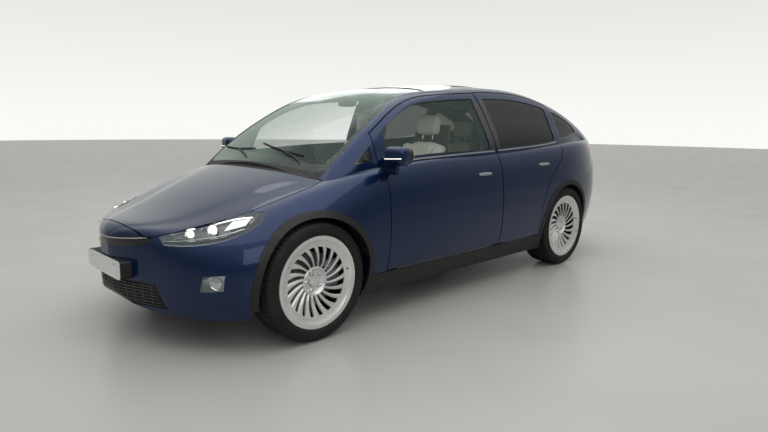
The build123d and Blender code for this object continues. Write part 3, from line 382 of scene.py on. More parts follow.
def build_finishes(look):
    """Every finish of the vehicle by name."""
    made = {"paint": paint_finish(look)}
    made["glass"] = glass_finish("clear_green_tinted_glass", (0.52, 0.60, 0.56), 0.92)
    made["dark_glass"] = glass_finish("dark_privacy_glass", (0.03, 0.035, 0.04), 0.28)
    made["roof_glass"] = glass_finish("solar_roof_glass", (0.02, 0.025, 0.03), 0.2)
    made["lens"] = glass_finish("polycarbonate_lens", (0.75, 0.8, 0.83), 0.88)
    made["red_lens"] = glass_finish("red_lamp_cover", (0.45, 0.015, 0.02), 0.5)

    f = Finish("red_lamp_lens", (0.55, 0.02, 0.03), 0.08, Coat_Weight=1.0, Coat_Roughness=0.02)
    f.mottled(f.waves(90.0, 0.0, "Z"), 0.25).bumped(f.waves(90.0, 0.0, "Z"), 0.25)
    made["lamp_red"] = f.material

    f = Finish("moulded_black_plastic", (0.045, 0.047, 0.05), 0.55)
    f.mottled(f.noise(12.0), 0.12).worn(f.noise(30.0), 0.48, 0.66).bumped(f.noise(1400.0, 3.0), 0.22)
    made["black_plastic"] = f.material

    f = Finish("gloss_black_trim", (0.02, 0.02, 0.022), 0.12, Coat_Weight=0.6, Coat_Roughness=0.05)
    made["gloss_black"] = f.mottled(f.noise(5.0), 0.1).worn(f.noise(14.0), 0.08, 0.2).material

    f = Finish("e_coated_structure", (0.09, 0.095, 0.1), 0.6, 0.2)
    f.mottled(f.noise(4.0), 0.2).worn(f.noise(9.0), 0.5, 0.75).bumped(f.noise(300.0), 0.08)
    made["structure"] = f.material

    f = Finish("cast_aluminium", (0.62, 0.63, 0.64), 0.5, 0.9)
    f.mottled(f.noise(20.0), 0.12).worn(f.noise(60.0), 0.42, 0.62).bumped(f.noise(600.0, 5.0), 0.2)
    made["alloy"] = f.material

    f = Finish("satin_bright_trim", (0.78, 0.79, 0.8), 0.22, 1.0)
    made["bright"] = f.mottled(f.noise(6.0), 0.05).worn(f.noise(200.0), 0.16, 0.28).material

    f = Finish("soft_touch_trim", (0.10, 0.10, 0.105), 0.75, Sheen_Weight=0.15)
    f.mottled(f.noise(9.0), 0.12).bumped(f.cells(700.0), 0.3, 0.0006)
    made["trim"] = f.material

    f = Finish("pale_leather", look.seat_colour, 0.45, Specular_IOR_Level=0.4, Sheen_Weight=0.08)
    f.mottled(f.noise(5.0, 5.0), 0.07).worn(f.noise(18.0), 0.38, 0.55)
    f.bumped(f.cells(520.0), 0.28, 0.0008).bumped(f.noise(30.0, 4.0), 0.12, 0.003)
    made["seat"] = f.material

    f = Finish("black_leather", (0.06, 0.06, 0.062), 0.42, Specular_IOR_Level=0.4)
    f.mottled(f.noise(7.0), 0.1).worn(f.noise(20.0), 0.34, 0.5).bumped(f.cells(520.0), 0.3, 0.0008)
    made["dark_leather"] = f.material

    f = Finish("loop_pile_carpet", (0.11, 0.11, 0.115), 0.95, Sheen_Weight=0.3)
    f.mottled(f.noise(300.0), 0.35).bumped(f.cells(450.0), 0.8, 0.002)
    made["carpet"] = f.material

    f = Finish("woven_belt_webbing", (0.07, 0.07, 0.075), 0.8, Sheen_Weight=0.2)
    f.mottled(f.waves(420.0, 1.0, "DIAGONAL"), 0.3).bumped(f.waves(420.0, 1.0, "DIAGONAL"), 0.4, 0.0005)
    made["belt"] = f.material

    f = Finish("tyre_rubber", (0.038, 0.038, 0.039), 0.82)
    f.mottled(f.noise(16.0), 0.2).worn(f.noise(8.0), 0.7, 0.9).bumped(f.noise(900.0), 0.12)
    made["tyre"] = f.material

    f = Finish("bright_machined_silver", look.wheel_colour, 0.3, 0.6, Coat_Weight=0.5, Coat_Roughness=0.08)
    made["wheel_silver"] = f.mottled(f.noise(12.0), 0.04).worn(f.noise(30.0), 0.26, 0.33).material

    f = Finish("shadow_grey_barrel", (0.12, 0.125, 0.13), 0.5, 0.6)
    made["barrel"] = f.mottled(f.noise(20.0), 0.15).worn(f.noise(30.0), 0.4, 0.6).material

    f = Finish("brake_disc_iron", (0.42, 0.42, 0.43), 0.38, 0.9)
    f.mottled(f.noise(60.0), 0.12).worn(f.noise(90.0), 0.3, 0.48)
    made["disc_iron"] = f.bumped(f.noise(500.0), 0.1).material

    f = Finish("black_cast_iron", (0.13, 0.13, 0.135), 0.62, 0.5)
    f.mottled(f.noise(25.0), 0.2, (0.16, 0.12, 0.09)).bumped(f.noise(500.0, 5.0), 0.25)
    made["iron"] = f.material

    f = Finish("lamp_chrome", (0.8, 0.81, 0.82), 0.08, 1.0)
    made["chrome"] = f.worn(f.noise(40.0), 0.05, 0.14).material

    f = Finish("plate_white", (0.86, 0.87, 0.86), 0.4, Coat_Weight=0.3)
    made["plate"] = f.mottled(f.noise(8.0), 0.03).worn(f.noise(50.0), 0.34, 0.46).material

    f = Finish("mirror_silver", (0.8, 0.82, 0.84), 0.02, 1.0)
    made["mirror"] = f.worn(f.noise(10.0), 0.01, 0.04).material

    f = Finish("blank_screen_glass", (0.012, 0.013, 0.016), 0.07, Coat_Weight=1.0)
    made["screen"] = f.worn(f.noise(6.0), 0.05, 0.1).material

    f = Finish("pale_headliner", (0.60, 0.59, 0.57), 0.95, Sheen_Weight=0.25)
    f.mottled(f.noise(700.0), 0.08).bumped(f.noise(1500.0), 0.3)
    made["headliner"] = f.material

    for key, colour, strength in (("white_light", (1.0, 0.98, 0.94), 1.3),
                                  ("red_light", (0.85, 0.03, 0.03), 0.6)):
        f = Finish(f"{key}_guide", colour, 0.2, Coat_Weight=1.0)
        f.shader.inputs["Emission Color"].default_value = (*f.colour, 1)
        f.shader.inputs["Emission Strength"].default_value = strength
        made[key] = f.mottled(f.waves(140.0, 0.0, "Z"), 0.08).material
    return made


FINISH = {}
NODE_FINISH = {
    "floor_pan": "structure", "roof_frame": "paint", "cowl": "black_plastic", "battery_pack": "alloy",
    "front_structure": "structure", "rear_structure": "structure", "front_subframe": "iron",
    "rear_subframe": "iron", "drive_units": "alloy", "front_bumper": "paint", "front_fenders": "paint",
    "rear_bumper": "paint", "windshield": "glass", "quarter_windows": "dark_glass",
    "sail_windows": "dark_glass", "headlamps": "lens", "fog_lamps": "lens", "lower_grille": "black_plastic",
    "arch_trims": "black_plastic", "dashboard": "trim", "steering_wheel": "dark_leather",
    "front_seats": "seat", "rear_seats": "seat", "tail_lamps": "red_lens", "tailgate_lamps": "red_lens",
    "hood": "paint", "tailgate": "paint", "rear_window": "dark_glass", "body_side": "paint",
    "front_door": "paint", "front_window": "glass", "mirror": "paint", "falcon_roof_panel": "paint",
    "falcon_roof_glass": "roof_glass", "falcon_door": "paint", "falcon_window": "dark_glass",
    "front_knuckle": "alloy", "tyre": "tyre", "wheel": "wheel_silver", "brake_disc": "disc_iron",
}


def finish_of(node):
    """The finish of a CAD node, by its full name or by its name without axle and side."""
    short = node.replace("_front_left", "").replace("_front_right", "").replace("_rear_left", "")
    short = short.replace("_rear_right", "").replace("_left", "").replace("_right", "")
    return NODE_FINISH.get(node) or NODE_FINISH[short]


# ---- wheels and tyres ----
def wheel_place(name):
    """Matrix that takes a shape made round the X axis, outer side towards +X, to a wheel's place."""
    centre, *_, sign = WHEELS[name]
    return shifted(*centre) @ np.diag([sign, 1.0, 1.0, 1.0])


def turbine_blades(count, hub, rim, sweep):
    """Blades from hub to rim: at u along a blade the radius grows evenly, the blade's middle turns by
    sweep times u, its half width grows from 8 mm by 15 mm times u squared, and its face lies 70 mm
    out plus 30 mm times the root of u, tilted across like a fan's."""
    u = np.linspace(0, 1, 18)[:, None]
    ring = np.linspace(0, 2 * math.pi, 14, endpoint=False)
    across, depth = bent(np.cos(ring), 0.6), bent(np.sin(ring), 0.6)
    radius = hub + (rim - hub) * u
    half = 0.008 + 0.015 * u**2
    x = 0.070 + 0.030 * np.sqrt(u) - 0.010 + 0.010 * depth + 0.006 * across
    angle = sweep * u + half * across / radius
    points = coords(x, radius * np.cos(angle), radius * np.sin(angle))
    closed = np.concatenate([points[:1].mean(1, keepdims=True).repeat(14, 1), points,
                             points[-1:].mean(1, keepdims=True).repeat(14, 1)])
    return copies(grid(closed, wrap_columns=True),
                  [turned("X", 2 * math.pi * i / count) for i in range(count)])


def wheel_face(sizes):
    """Bright parts of a wheel: outer ring, blades and hub dish, turned profiles round the axle."""
    ring = [(0.088, 0.222), (0.099, 0.220), (0.104, 0.232), (0.109, 0.252), (0.117, 0.262),
            (0.1205, 0.270), (0.1210, 0.290), (0.1170, 0.2915), (0.1110, 0.2915), (0.1080, 0.283),
            (0.1060, 0.268), (0.096, 0.258), (0.090, 0.240)]
    dish = [(0.036, 0.034), (0.056, 0.034), (0.060, 0.042), (0.0620, 0.052), (0.0660, 0.066),
            (0.074, 0.076), (0.084, 0.084), (0.080, 0.092), (0.060, 0.088), (0.036, 0.080)]
    blades = turbine_blades(sizes.blades, 0.078, 0.236, sizes.blade_sweep)
    return joined([lathe(ring, 160), lathe(dish, 96), blades])


def wheel_barrel():
    """The rim's barrel: bead seats at 279 mm, a drop centre, and its inner wall."""
    profile = [(-0.1210, 0.268), (-0.1210, 0.2915), (-0.1110, 0.2915), (-0.1030, 0.2790),
               (-0.060, 0.277), (-0.030, 0.262), (0.040, 0.262), (0.070, 0.277), (0.1030, 0.2790),
               (0.1075, 0.284), (0.1075, 0.266), (0.072, 0.266), (0.040, 0.250), (-0.030, 0.250),
               (-0.062, 0.265)]
    return lathe(profile, 128)


def wheel_nuts():
    """Five capped nuts on a 120 mm circle: a hexagon of radius 13 mm whose top is domed."""
    t = np.linspace(0, 2 * math.pi, 24, endpoint=False)
    hexagon = 0.0125 / np.cos((t + math.pi / 6) % (math.pi / 3) - math.pi / 6)
    rows = [(0.050, 0.2), (0.050, 1.0), (0.070, 1.0), (0.073, 0.86), (0.076, 0.5), (0.0768, 0.02)]
    x, share = np.array(rows).T[..., None]
    radius = share * hexagon
    nut = grid(coords(x, 0.060 + radius * np.cos(t), radius * np.sin(t)), wrap_columns=True)
    return copies(nut, [turned("X", 2 * math.pi * (i + 0.5) / 5) for i in range(5)])


class SUV_OT_wheels(bpy.types.Operator):
    """Puts a twenty-bladed turbine wheel, nuts and a plain cap on each hub"""

    bl_idname = "suv.wheels"
    bl_label = "Turbine wheels"

    def execute(self, context):
        sizes = context.scene.suv_sizes
        face, barrel, nuts = wheel_face(sizes), wheel_barrel(), wheel_nuts()
        cap = lathe([(0.052, 0.001), (0.052, 0.033), (0.064, 0.033), (0.0690, 0.030), (0.0705, 0.024),
                     (0.0712, 0.001)], 64)
        stem = placed(turned("X", 0.2), swept([(0.096, 0.244, 0), (0.108, 0.240, 0), (0.124, 0.235, 0)],
                                              ring_profile(0.0038, 10)))
        for name in WHEELS:
            body, place = f"wheel_{name}", wheel_place(name)
            made = piece(f"turbine_face_{name}", placed(place, face), body, "wheel_silver")
            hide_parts(body)
            piece(f"rim_barrel_{name}", placed(place, barrel), body, "barrel")
            piece(f"wheel_nuts_{name}", placed(place, nuts), body, "chrome")
            piece(f"hub_cap_{name}", placed(place, cap), body, "wheel_silver")
            piece(f"valve_stem_{name}", placed(place, stem), body, "black_plastic")
        return {"FINISHED"}


def tyre_surface(radius, width):
    """A road tyre. Across it, v goes from one bead to the other over sidewalls that bulge and a crowned
    tread. Four grooves cut 8 mm into the tread, and curved sipes cut 5 mm: a sipe is where the angle
    round, bent by the place across, falls in a narrow share of its pitch."""
    half = width / 2
    side = np.array([(-0.094, 0.2800), (-0.112, 0.2935), (-0.120, 0.2950), (-half + 0.004, 0.302),
                     (-half, 0.318), (-half + 0.001, 0.330), (-half + 0.004, 0.343),
                     (-half + 0.009, 0.355), (-half + 0.016, 0.3635)])
    x = np.linspace(-half + 0.019, half - 0.019, 47)
    crown = radius - 0.0085 * np.abs(x / (half - 0.012)) ** 3.2
    groove = np.min([np.abs(x - g) for g in (-0.066, -0.023, 0.023, 0.066)], axis=0)
    deep = 0.008 * np.clip((0.0065 - groove) / 0.002, 0, 1)
    count = 432
    t = np.linspace(0, 2 * math.pi, count, endpoint=False)
    bend = np.where(np.abs(x) > 0.066, 0.5, 0.18)[:, None] * np.sin(x * 22)[:, None]
    pitch = (t[None] * 72 / (2 * math.pi) + bend) % 1
    sipe = 0.005 * (pitch < 0.17) * (np.abs(x) > 0.030)[:, None] + 0.003 * ((pitch + 0.5) % 1 < 0.17) * (
        np.abs(x) < 0.016)[:, None]
    tread = (crown - deep)[:, None] - np.maximum(sipe - deep[:, None], 0)
    flanks = np.repeat(side[:, 1:], count, 1)
    rib = 0.0012 * np.cos(t[None] * 90) * np.array([0, 0, 0, 0, 0, 0, 1, 1, 0.4])[:, None]
    radii = np.concatenate([flanks + rib, tread, (flanks + rib)[::-1]])
    offsets = np.concatenate([side[:, 0], x, -side[::-1, 0]])[:, None]
    points = coords(offsets, radii * np.cos(t), radii * np.sin(t))
    return grid(points, wrap_rows=True, wrap_columns=True)


class SUV_OT_tyres(bpy.types.Operator):
    """Wraps each wheel in a tyre with four grooves, sipes and ribbed shoulders"""

    bl_idname = "suv.tyres"
    bl_label = "Tyres"

    def execute(self, context):
        _, width, radius, _ = WHEELS["front_left"]
        tyre = tyre_surface(radius, width)
        rings = [lathe([(x - 0.0006, r - 0.0012), (x + out, r), (x - 0.0006, r + 0.0012)], 160)
                 for x, r, out in ((width / 2 - 0.0030, 0.309, 0.0032), (width / 2 - 0.0010, 0.3265, 0.0020),
                                   (width / 2 - 0.0035, 0.3415, 0.0024))]
        for name in WHEELS:
            place = wheel_place(name)
            made = piece(f"treaded_tyre_{name}", placed(place, tyre), f"wheel_{name}", "tyre",
                         smooth=40)
            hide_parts(f"tyre_{name}")
            piece(f"tyre_wall_rings_{name}", placed(place, joined(rings)), f"wheel_{name}", "tyre")
        return {"FINISHED"}


# ---- laying pieces on the body ----
def laid(points, node, axis=None, sides="both", lift=0.0):
    """Points moved on to a CAD node's surface, along an axis or to the nearest place, and then lifted off
    it. Whole grids go through one Shrinkwrap modifier and come back as an array."""
    points = np.asarray(points, float)
    flat = points.reshape(-1, 3)
    mesh = bpy.data.meshes.new("laid_points")
    mesh.vertices.add(len(flat))
    mesh.vertices.foreach_set("co", flat.ravel())
    obj = bpy.data.objects.new("laid_points", mesh)
    bpy.context.scene.collection.objects.link(obj)
    wrap = obj.modifiers.new("wrap", "SHRINKWRAP")
    wrap.target, wrap.offset = NODES[node], lift
    if axis is None:
        wrap.wrap_method, wrap.wrap_mode = "NEAREST_SURFACEPOINT", "ABOVE_SURFACE"
    else:
        wrap.wrap_method, wrap.wrap_mode = "PROJECT", "ABOVE_SURFACE"
        wrap.use_project_x, wrap.use_project_y, wrap.use_project_z = (k == axis for k in "XYZ")
        wrap.use_positive_direction = sides in ("both", "+")
        wrap.use_negative_direction = sides in ("both", "-")
    shown = obj.evaluated_get(bpy.context.evaluated_depsgraph_get()).to_mesh()
    out = np.empty(len(flat) * 3)
    shown.vertices.foreach_get("co", out)
    bpy.data.objects.remove(obj)
    bpy.data.meshes.remove(mesh)
    out = out.reshape(-1, 3)
    if axis:
        k = "XYZ".index(axis)
        missed = np.abs(out[:, k] - flat[:, k]) < 1e-7
        if missed.all():
            raise RuntimeError(f"nothing of {node} lies in the way of these points")
        if missed.any():
            others = [i for i in range(3) if i != k]
            far = flat[missed][:, None, others] - flat[~missed][None, :, others]
            out[missed, k] = out[~missed][np.sum(far**2, -1).argmin(1), k]
    return out.reshape(points.shape)


def normals_of(points):
    """Unit normals of a grid of points: the cross product of its two neighbour directions."""
    across = np.cross(np.gradient(points, axis=0), np.gradient(points, axis=1))
    return across / (np.linalg.norm(across, axis=-1, keepdims=True) + 1e-12)


def patch(outer, depth):
    """A closed slab under a grid of points: its lower side lies depth below along the normals."""
    inner = outer - depth * normals_of(outer)
    rows, columns = outer.shape[:2]
    lower = inner[:, ::-1]
    ring = np.concatenate([outer, lower], axis=1)
    vertices, quads = grid(ring, wrap_columns=True)
    n = 2 * columns
    caps = []
    for row, turn in ((0, 1), (rows - 1, -1)):
        j = np.arange(columns - 1)
        a, b = row * n + j, row * n + j + 1
        c, d = row * n + n - 2 - j, row * n + n - 1 - j
        caps.append(np.stack([a, b, c, d], -1)[:, ::turn])
    return vertices, np.concatenate([quads, *caps])


def both_sides(surface):
    """A surface and its mirror twin on the other side of the car."""
    return joined([surface, placed(MIRROR_X, surface)])


def blended(low, high, rows):
    """Rows of points between two curves: point = low + v (high - low)."""
    v = np.linspace(0, 1, rows)[:, None, None]
    return low[None] * (1 - v) + high[None] * v


# ---- headlamps and fog lamps ----
def lamp_curves(count):
    """Lower and upper edge of the left headlamp's opening, a little inside its lens."""
    lower = smooth_path([(0.437, -2.348, 0.655), (0.520, -2.330, 0.654), (0.640, -2.250, 0.668),
                         (0.740, -2.130, 0.690), (0.806, -1.990, 0.735)], count)
    upper = smooth_path([(0.430, -2.350, 0.690), (0.520, -2.300, 0.716), (0.600, -2.190, 0.752),
                         (0.690, -2.030, 0.792), (0.770, -1.935, 0.800)], count)
    return lower, upper


def behind_lens(points, depth):
    """Points on the left lens as seen from straight ahead, moved inwards by depth."""
    ahead = np.array(points, float)
    ahead[..., 1] = -FAR
    inward = np.array([-0.42, 0.90, -0.04])
    return laid(ahead, "headlamps", "Y", "+") + inward * np.asarray(depth, float)[..., None]


def lamp_bowl(inset):
    """The dark bowl behind the lens: rows between the lamp's edges pushed inwards by inset times
    1 - (2v - 1)^4, so it is deepest half way up."""
    lower, upper = lamp_curves(40)
    rows = blended(lower, upper, 18)
    v = np.linspace(0, 1, 18)[:, None]
    u = np.linspace(0, 1, 40)[None, :]
    deep = (1 - (2 * v - 1) ** 4) * (1 - (2 * u - 1) ** 8)
    return behind_lens(rows, 0.016 + inset * deep)


class SUV_OT_headlamps(bpy.types.Operator):
    """Fits bowls, projectors, light guides and turn strips behind the clear lamp lenses"""

    bl_idname = "suv.headlamps"
    bl_label = "Headlamps and fog lamps"

    def execute(self, context):
        bowl = patch(lamp_bowl(0.034), -0.0015)
        piece("headlamp_bowls", both_sides(bowl), "body", "gloss_black")
        cup = lathe([(-0.030, 0.002), (-0.030, 0.022), (-0.006, 0.031), (0.006, 0.034), (0.008, 0.032),
                     (0.000, 0.027), (-0.006, 0.026), (-0.010, 0.002)], 64)
        bulb = lathe([(-0.012, 0.0262), (0.0, 0.0245), (0.007, 0.019), (0.011, 0.011), (0.0125, 0.001),
                      (-0.012, 0.001)], 64)
        turn = facing((0.46, -0.885, 0.06))
        places = [shifted(0.560, -2.232, 0.694) @ turn, shifted(0.655, -2.140, 0.722) @ turn]
        for name, shape, finish in (("cups", cup, "chrome"), ("lenses", bulb, "white_light")):
            piece(f"headlamp_projector_{name}", both_sides(copies(shape, places)), "body", finish)
        lower, upper = lamp_curves(60)
        for name, curve, finish, size in (
                ("headlamp_light_guides", upper * 0.86 + lower * 0.14, "white_light", 0.0042),
                ("headlamp_lower_guides", lower * 0.9 + upper * 0.1, "chrome", 0.0030)):
            path = behind_lens(curve[3:-3], 0.017)
            piece(name, both_sides(swept(path, ring_profile(size, 10))), "body", finish)
        lower, upper = lower[44:57], upper[44:57]
        corner = behind_lens(blended(lower * 0.7 + upper * 0.3, lower * 0.25 + upper * 0.75, 8), 0.018)
        piece("headlamp_corner_reflectors", both_sides(patch(corner, 0.004)), "body", "chrome")
        self.fog_lamps()
        return {"FINISHED"}

    def fog_lamps(self):
        """Round fog lamps: a turned bowl, a domed lens and a bezel in each bumper corner."""
        place = shifted(0.779, -2.196, 0.442) @ facing((0.62, -0.78, -0.02))
        bowl = lathe([(-0.016, 0.002), (-0.014, 0.024), (0.002, 0.034), (0.004, 0.037), (-0.004, 0.037),
                      (-0.020, 0.026), (-0.020, 0.002)], 56)
        lens = lathe([(-0.006, 0.031), (0.000, 0.029), (0.004, 0.018), (0.0055, 0.001), (-0.006, 0.001)], 56)
        piece("fog_lamp_bowls", both_sides(placed(place, bowl)), "body", "chrome")
        piece("fog_lamp_lenses", both_sides(placed(place, lens)), "body", "chrome")


# ---- pieces on the outside ----
def flank(line, count, x=OUTSIDE):
    """A smooth curve through (y, z) points, beside the car's left side."""
    return smooth_path([(x, y, z) for y, z in line], count)


class SUV_OT_front_trim(bpy.types.Operator):
    """Adds the lower grille's slats, the nose slot with its bright line, and the blank plates"""

    bl_idname = "suv.front_trim"
    bl_label = "Grille, nose slot and plates"

    def execute(self, context):
        low, high = node_box("lower_grille")
        x = np.linspace(-1, 1, 41)
        bars = []
        for z in np.linspace(low[2] + 0.014, high[2] - 0.014, 7):
            half = np.interp(z, (low[2], high[2]), (0.482, 0.424))
            path = laid(coords(x * half, AHEAD, z), "lower_grille", "Y", "+")
            path[:, 1] -= 0.002
            bars.append(swept(path, ring_profile(0.0055, 10, 0.62)))
        for x0 in np.linspace(-0.40, 0.40, 13):
            z = np.linspace(low[2] + 0.010, high[2] - 0.010, 9)
            path = laid(coords(x0, AHEAD, z), "lower_grille", "Y", "+")
            bars.append(swept(path, ring_profile(0.004, 8), up=(0, 1, 0)))
        piece("lower_grille_slats", joined(bars), "body", "gloss_black")
        self.nose()
        self.plates()
        self.sensors()
        return {"FINISHED"}

    def nose(self):
        """A slim slot across the nose: its half height is 30 mm times (1 - |x|^5) to the half."""
        u = np.linspace(-1, 1, 61)
        half = 0.030 * np.sqrt(np.clip(1 - np.abs(u) ** 5, 0.02, 1))
        v = np.linspace(-1, 1, 9)[:, None]
        middle = 0.628 + 0.030 * u**2
        slot = laid(coords(0.40 * u, AHEAD, middle + half * v), "front_bumper", "Y", "+")
        slab = patch(slot + np.array([0, -0.0015, 0]), -0.003)
        piece("nose_slot", slab, "body", "gloss_black")
        line = laid(coords(0.385 * u, AHEAD, middle + 0.016), "front_bumper", "Y", "+")
        line[:, 1] -= 0.003
        piece("nose_bright_line", swept(line, ring_profile(0.0035, 10)), "body", "bright")

    def plates(self):
        """Blank plates: a rounded rectangle pressed 1.5 mm deep inside its rim, on a black carrier that
        reaches back to the bumper or the tailgate, with two screws."""
        outline = rounded_square(0.16, 96) * [0.260, 0.056]
        rear_y = laid([(0, 3.0, 0.905)], "tailgate", "Y", "-")[0, 1] + 0.012
        scale, behind = np.array([(0.001, 0.0035), (1.0, 0.0035), (1.0, 0.003), (1.0, 0.0), (0.985, 0.0),
                                  (0.975, 0.0015), (0.5, 0.0015), (0.001, 0.0015)]).T[..., None]
        screw = lathe([(-0.001, 0.0005), (-0.001, 0.006), (0.001, 0.006), (0.002, 0.004), (0.002, 0.0005)],
                      20, axis="Z")
        for name, body, node, y, z, rear, sides in (
                ("front", "body", "front_bumper", -2.532, 0.470, -1, "+"),
                ("rear", "tailgate", "tailgate", rear_y, 0.905, 1, "-")):
            points = coords(outline[:, 0] * scale, y - rear * behind, z + outline[:, 1] * scale)
            piece(f"blank_plate_{name}", grid(points, wrap_columns=True), body, "plate")
            face = coords(outline[:, 0] * 1.02, y - rear * 0.004, z + outline[:, 1] * 1.02)
            wall = laid(face * [1, 0, 1] + [0, rear * FAR, 0], node, "Y", sides) - [0, rear * 0.006, 0]
            hubs = [r * [0.001, 1, 0.001] + [0, 0, z * 0.999] for r in (face, wall)]
            carrier = grid(np.stack([hubs[0], face, wall, hubs[1]]), wrap_columns=True)
            piece(f"plate_carrier_{name}", carrier, body, "black_plastic", smooth=30)
            place = [shifted(dx, y + rear * 0.0005, z + 0.028) @ turned("X", -rear * math.pi / 2)
                     for dx in (-0.17, 0.17)]
            piece(f"plate_screws_{name}", copies(screw, place), body, "chrome")

    def sensors(self):
        """Round parking sensors flush in the bumper, each square to the surface round its place."""
        disc = lathe([(-0.006, 0.0005), (-0.006, 0.009), (0.001, 0.009), (0.0018, 0.0078),
                      (0.0018, 0.0005)], 28)
        step = np.array([-0.01, 0.01])
        places = []
        for x, z in ((0.30, 0.565), (-0.30, 0.565), (0.60, 0.545), (-0.60, 0.545)):
            spots = laid(coords(x + step, AHEAD, z + step[:, None]), "front_bumper", "Y", "+")
            n = np.cross(spots[0, 1] - spots[0, 0], spots[1, 0] - spots[0, 0])
            places.append(shifted(*spots.mean((0, 1))) @ facing(-np.sign(n[1]) * n))
        piece("parking_sensors", copies(disc, places), "body", "black_plastic")


FRONT_BELT = [(-1.000, 1.072), (-0.85, 1.080), (-0.60, 1.091), (-0.30, 1.102), (0.00, 1.112), (0.25, 1.118)]
REAR_BELT = [(0.300, 1.122), (0.60, 1.133), (0.90, 1.146), (1.15, 1.161), (1.28, 1.172)]


class SUV_OT_side_trim(bpy.types.Operator):
    """Adds bright belt strips, black window pillars, handles and mirror details"""

    bl_idname = "suv.side_trim"
    bl_label = "Window trim, handles and mirrors"

    def execute(self, context):
        self.belts()
        self.pillars()
        self.handles()
        self.mirrors()
        return {"FINISHED"}

    def belts(self):
        profile = [(-0.003, -0.006), (0.003, -0.006), (0.004, 0), (0.003, 0.006), (-0.003, 0.006)]
        for name, line, node in (("front", FRONT_BELT, "front_door"), ("rear", REAR_BELT, "falcon_door")):
            path = laid(flank(line, 80), f"{node}_left", "X", "-") + [0.001, 0, 0]
            pair(f"belt_strip_{name}", swept(path, profile), node, "bright")

    def pillars(self):
        """Black covers between the windows: rows between two curves, laid on the door's frame."""
        for name, node, low, high in (
                ("front", "front_door",
                 [(0.205, 1.135), (0.195, 1.25), (0.188, 1.36), (0.182, 1.47), (0.179, 1.50)],
                 [(0.268, 1.135), (0.262, 1.25), (0.256, 1.36), (0.250, 1.47), (0.248, 1.50)]),
                ("rear", "falcon_door",
                 [(0.289, 1.145), (0.281, 1.26), (0.276, 1.36), (0.270, 1.48), (0.266, 1.53)],
                 [(0.346, 1.145), (0.343, 1.26), (0.340, 1.36), (0.337, 1.48), (0.335, 1.53)])):
            rows = blended(flank(low, 26), flank(high, 26), 8)
            cover = patch(laid(rows, f"{node}_left", "X", "-", lift=0.0002), -0.0012)
            pair(f"pillar_cover_{name}", cover, node, "gloss_black")

    def handles(self):
        """Flush paddles: a strip 172 mm long whose ends are rounded as (1 - u^6), standing 3 mm proud."""
        u = np.linspace(-1, 1, 33)
        v = np.linspace(-1, 1, 7)[:, None]
        half = 0.0115 * np.clip(1 - u**6, 0.15, 1)
        for name, node, y, z in (("front", "front_door", 0.060, 0.945),
                                 ("rear", "falcon_door", 0.930, 0.985)):
            face = laid(coords(OUTSIDE, y + 0.086 * u, z + half * v), f"{node}_left", "X", "-")
            face[..., 0] += 0.0032 * (1 - 0.5 * v**2 - 0.3 * u**8)
            pair(f"door_handle_{name}", patch(face, -0.006), node, "bright")

    def mirrors(self):
        """The mirror's glass: a rounded square on the housing's rear, a black surround and a repeater."""
        square = rounded_square(0.55, 72)
        place = shifted(1.0545, -0.981, 1.128) @ turned("Z", math.radians(8))
        for name, finish, slot, closed, rows in (
                ("mirror_surround", "gloss_black", "black_plastic", True,
                 [(0.86, -0.012), (1.02, -0.004), (1.0, 0.003), (0.9, 0.002)]),
                ("mirror_glass", "mirror", "glass", False,
                 [(0.001, -0.004), (0.88, -0.004), (0.89, 0.0005), (0.88, 0.001), (0.001, 0.0016)])):
            scale, back = np.array(rows).T[..., None]
            points = coords(0.072 * scale * square[:, 0], back, 0.052 * scale * square[:, 1])
            shape = placed(place, grid(points, wrap_rows=closed, wrap_columns=True))
            pair(name, shape, "front_door", finish)
        x = np.linspace(0.990, 1.125, 26)
        path = laid(coords(x, -2.0, 1.110 + 0.05 * (x - 0.99)), "mirror_left", "Y", "+")
        pair("mirror_repeater", swept(path, ring_profile(0.004, 8, 0.7)), "front_door", "white_light")


class SUV_OT_wipers(bpy.types.Operator):
    """Lays two wiper arms and blades along the windshield's foot"""

    bl_idname = "suv.wipers"
    bl_label = "Wipers"

    def execute(self, context):
        blades, arms, pivots = [], [], []
        for pivot, tip in (((0.52, -1.400, 1.03), (-0.10, -1.300)),
                           ((-0.08, -1.445, 1.03), (-0.66, -1.290))):
            x = np.linspace(pivot[0] - 0.06, tip[0], 30)
            y = np.linspace(-1.350, tip[1], 30) - 0.02 * np.sin(np.linspace(0, math.pi, 30))
            line = laid(coords(x, y, ABOVE), "windshield", "Z", "-")
            blades.append(swept(line + [0, 0, 0.006],
                                [(-0.005, -0.005), (0.005, -0.005), (0.004, 0.006), (-0.004, 0.006)]))
            start = np.array(pivot)
            top = line[15] + [0, 0, 0.014]
            arm = smooth_path([start, start * 0.72 + top * 0.28 + [0, 0, 0.030], top], 20)
            arms.append(swept(arm, [(-0.007, -0.003), (0.007, -0.003), (0.006, 0.003), (-0.006, 0.003)]))
            pivots.append(shifted(*pivot))
        cap = lathe([(-0.030, 0.0005), (-0.030, 0.014), (0.004, 0.014), (0.010, 0.009), (0.012, 0.0005)],
                    24, axis="Z")
        piece("wiper_blades", joined(blades), "body", "tyre")
        piece("wiper_arms", joined([*arms, copies(cap, pivots)]), "body", "black_plastic")
        return {"FINISHED"}


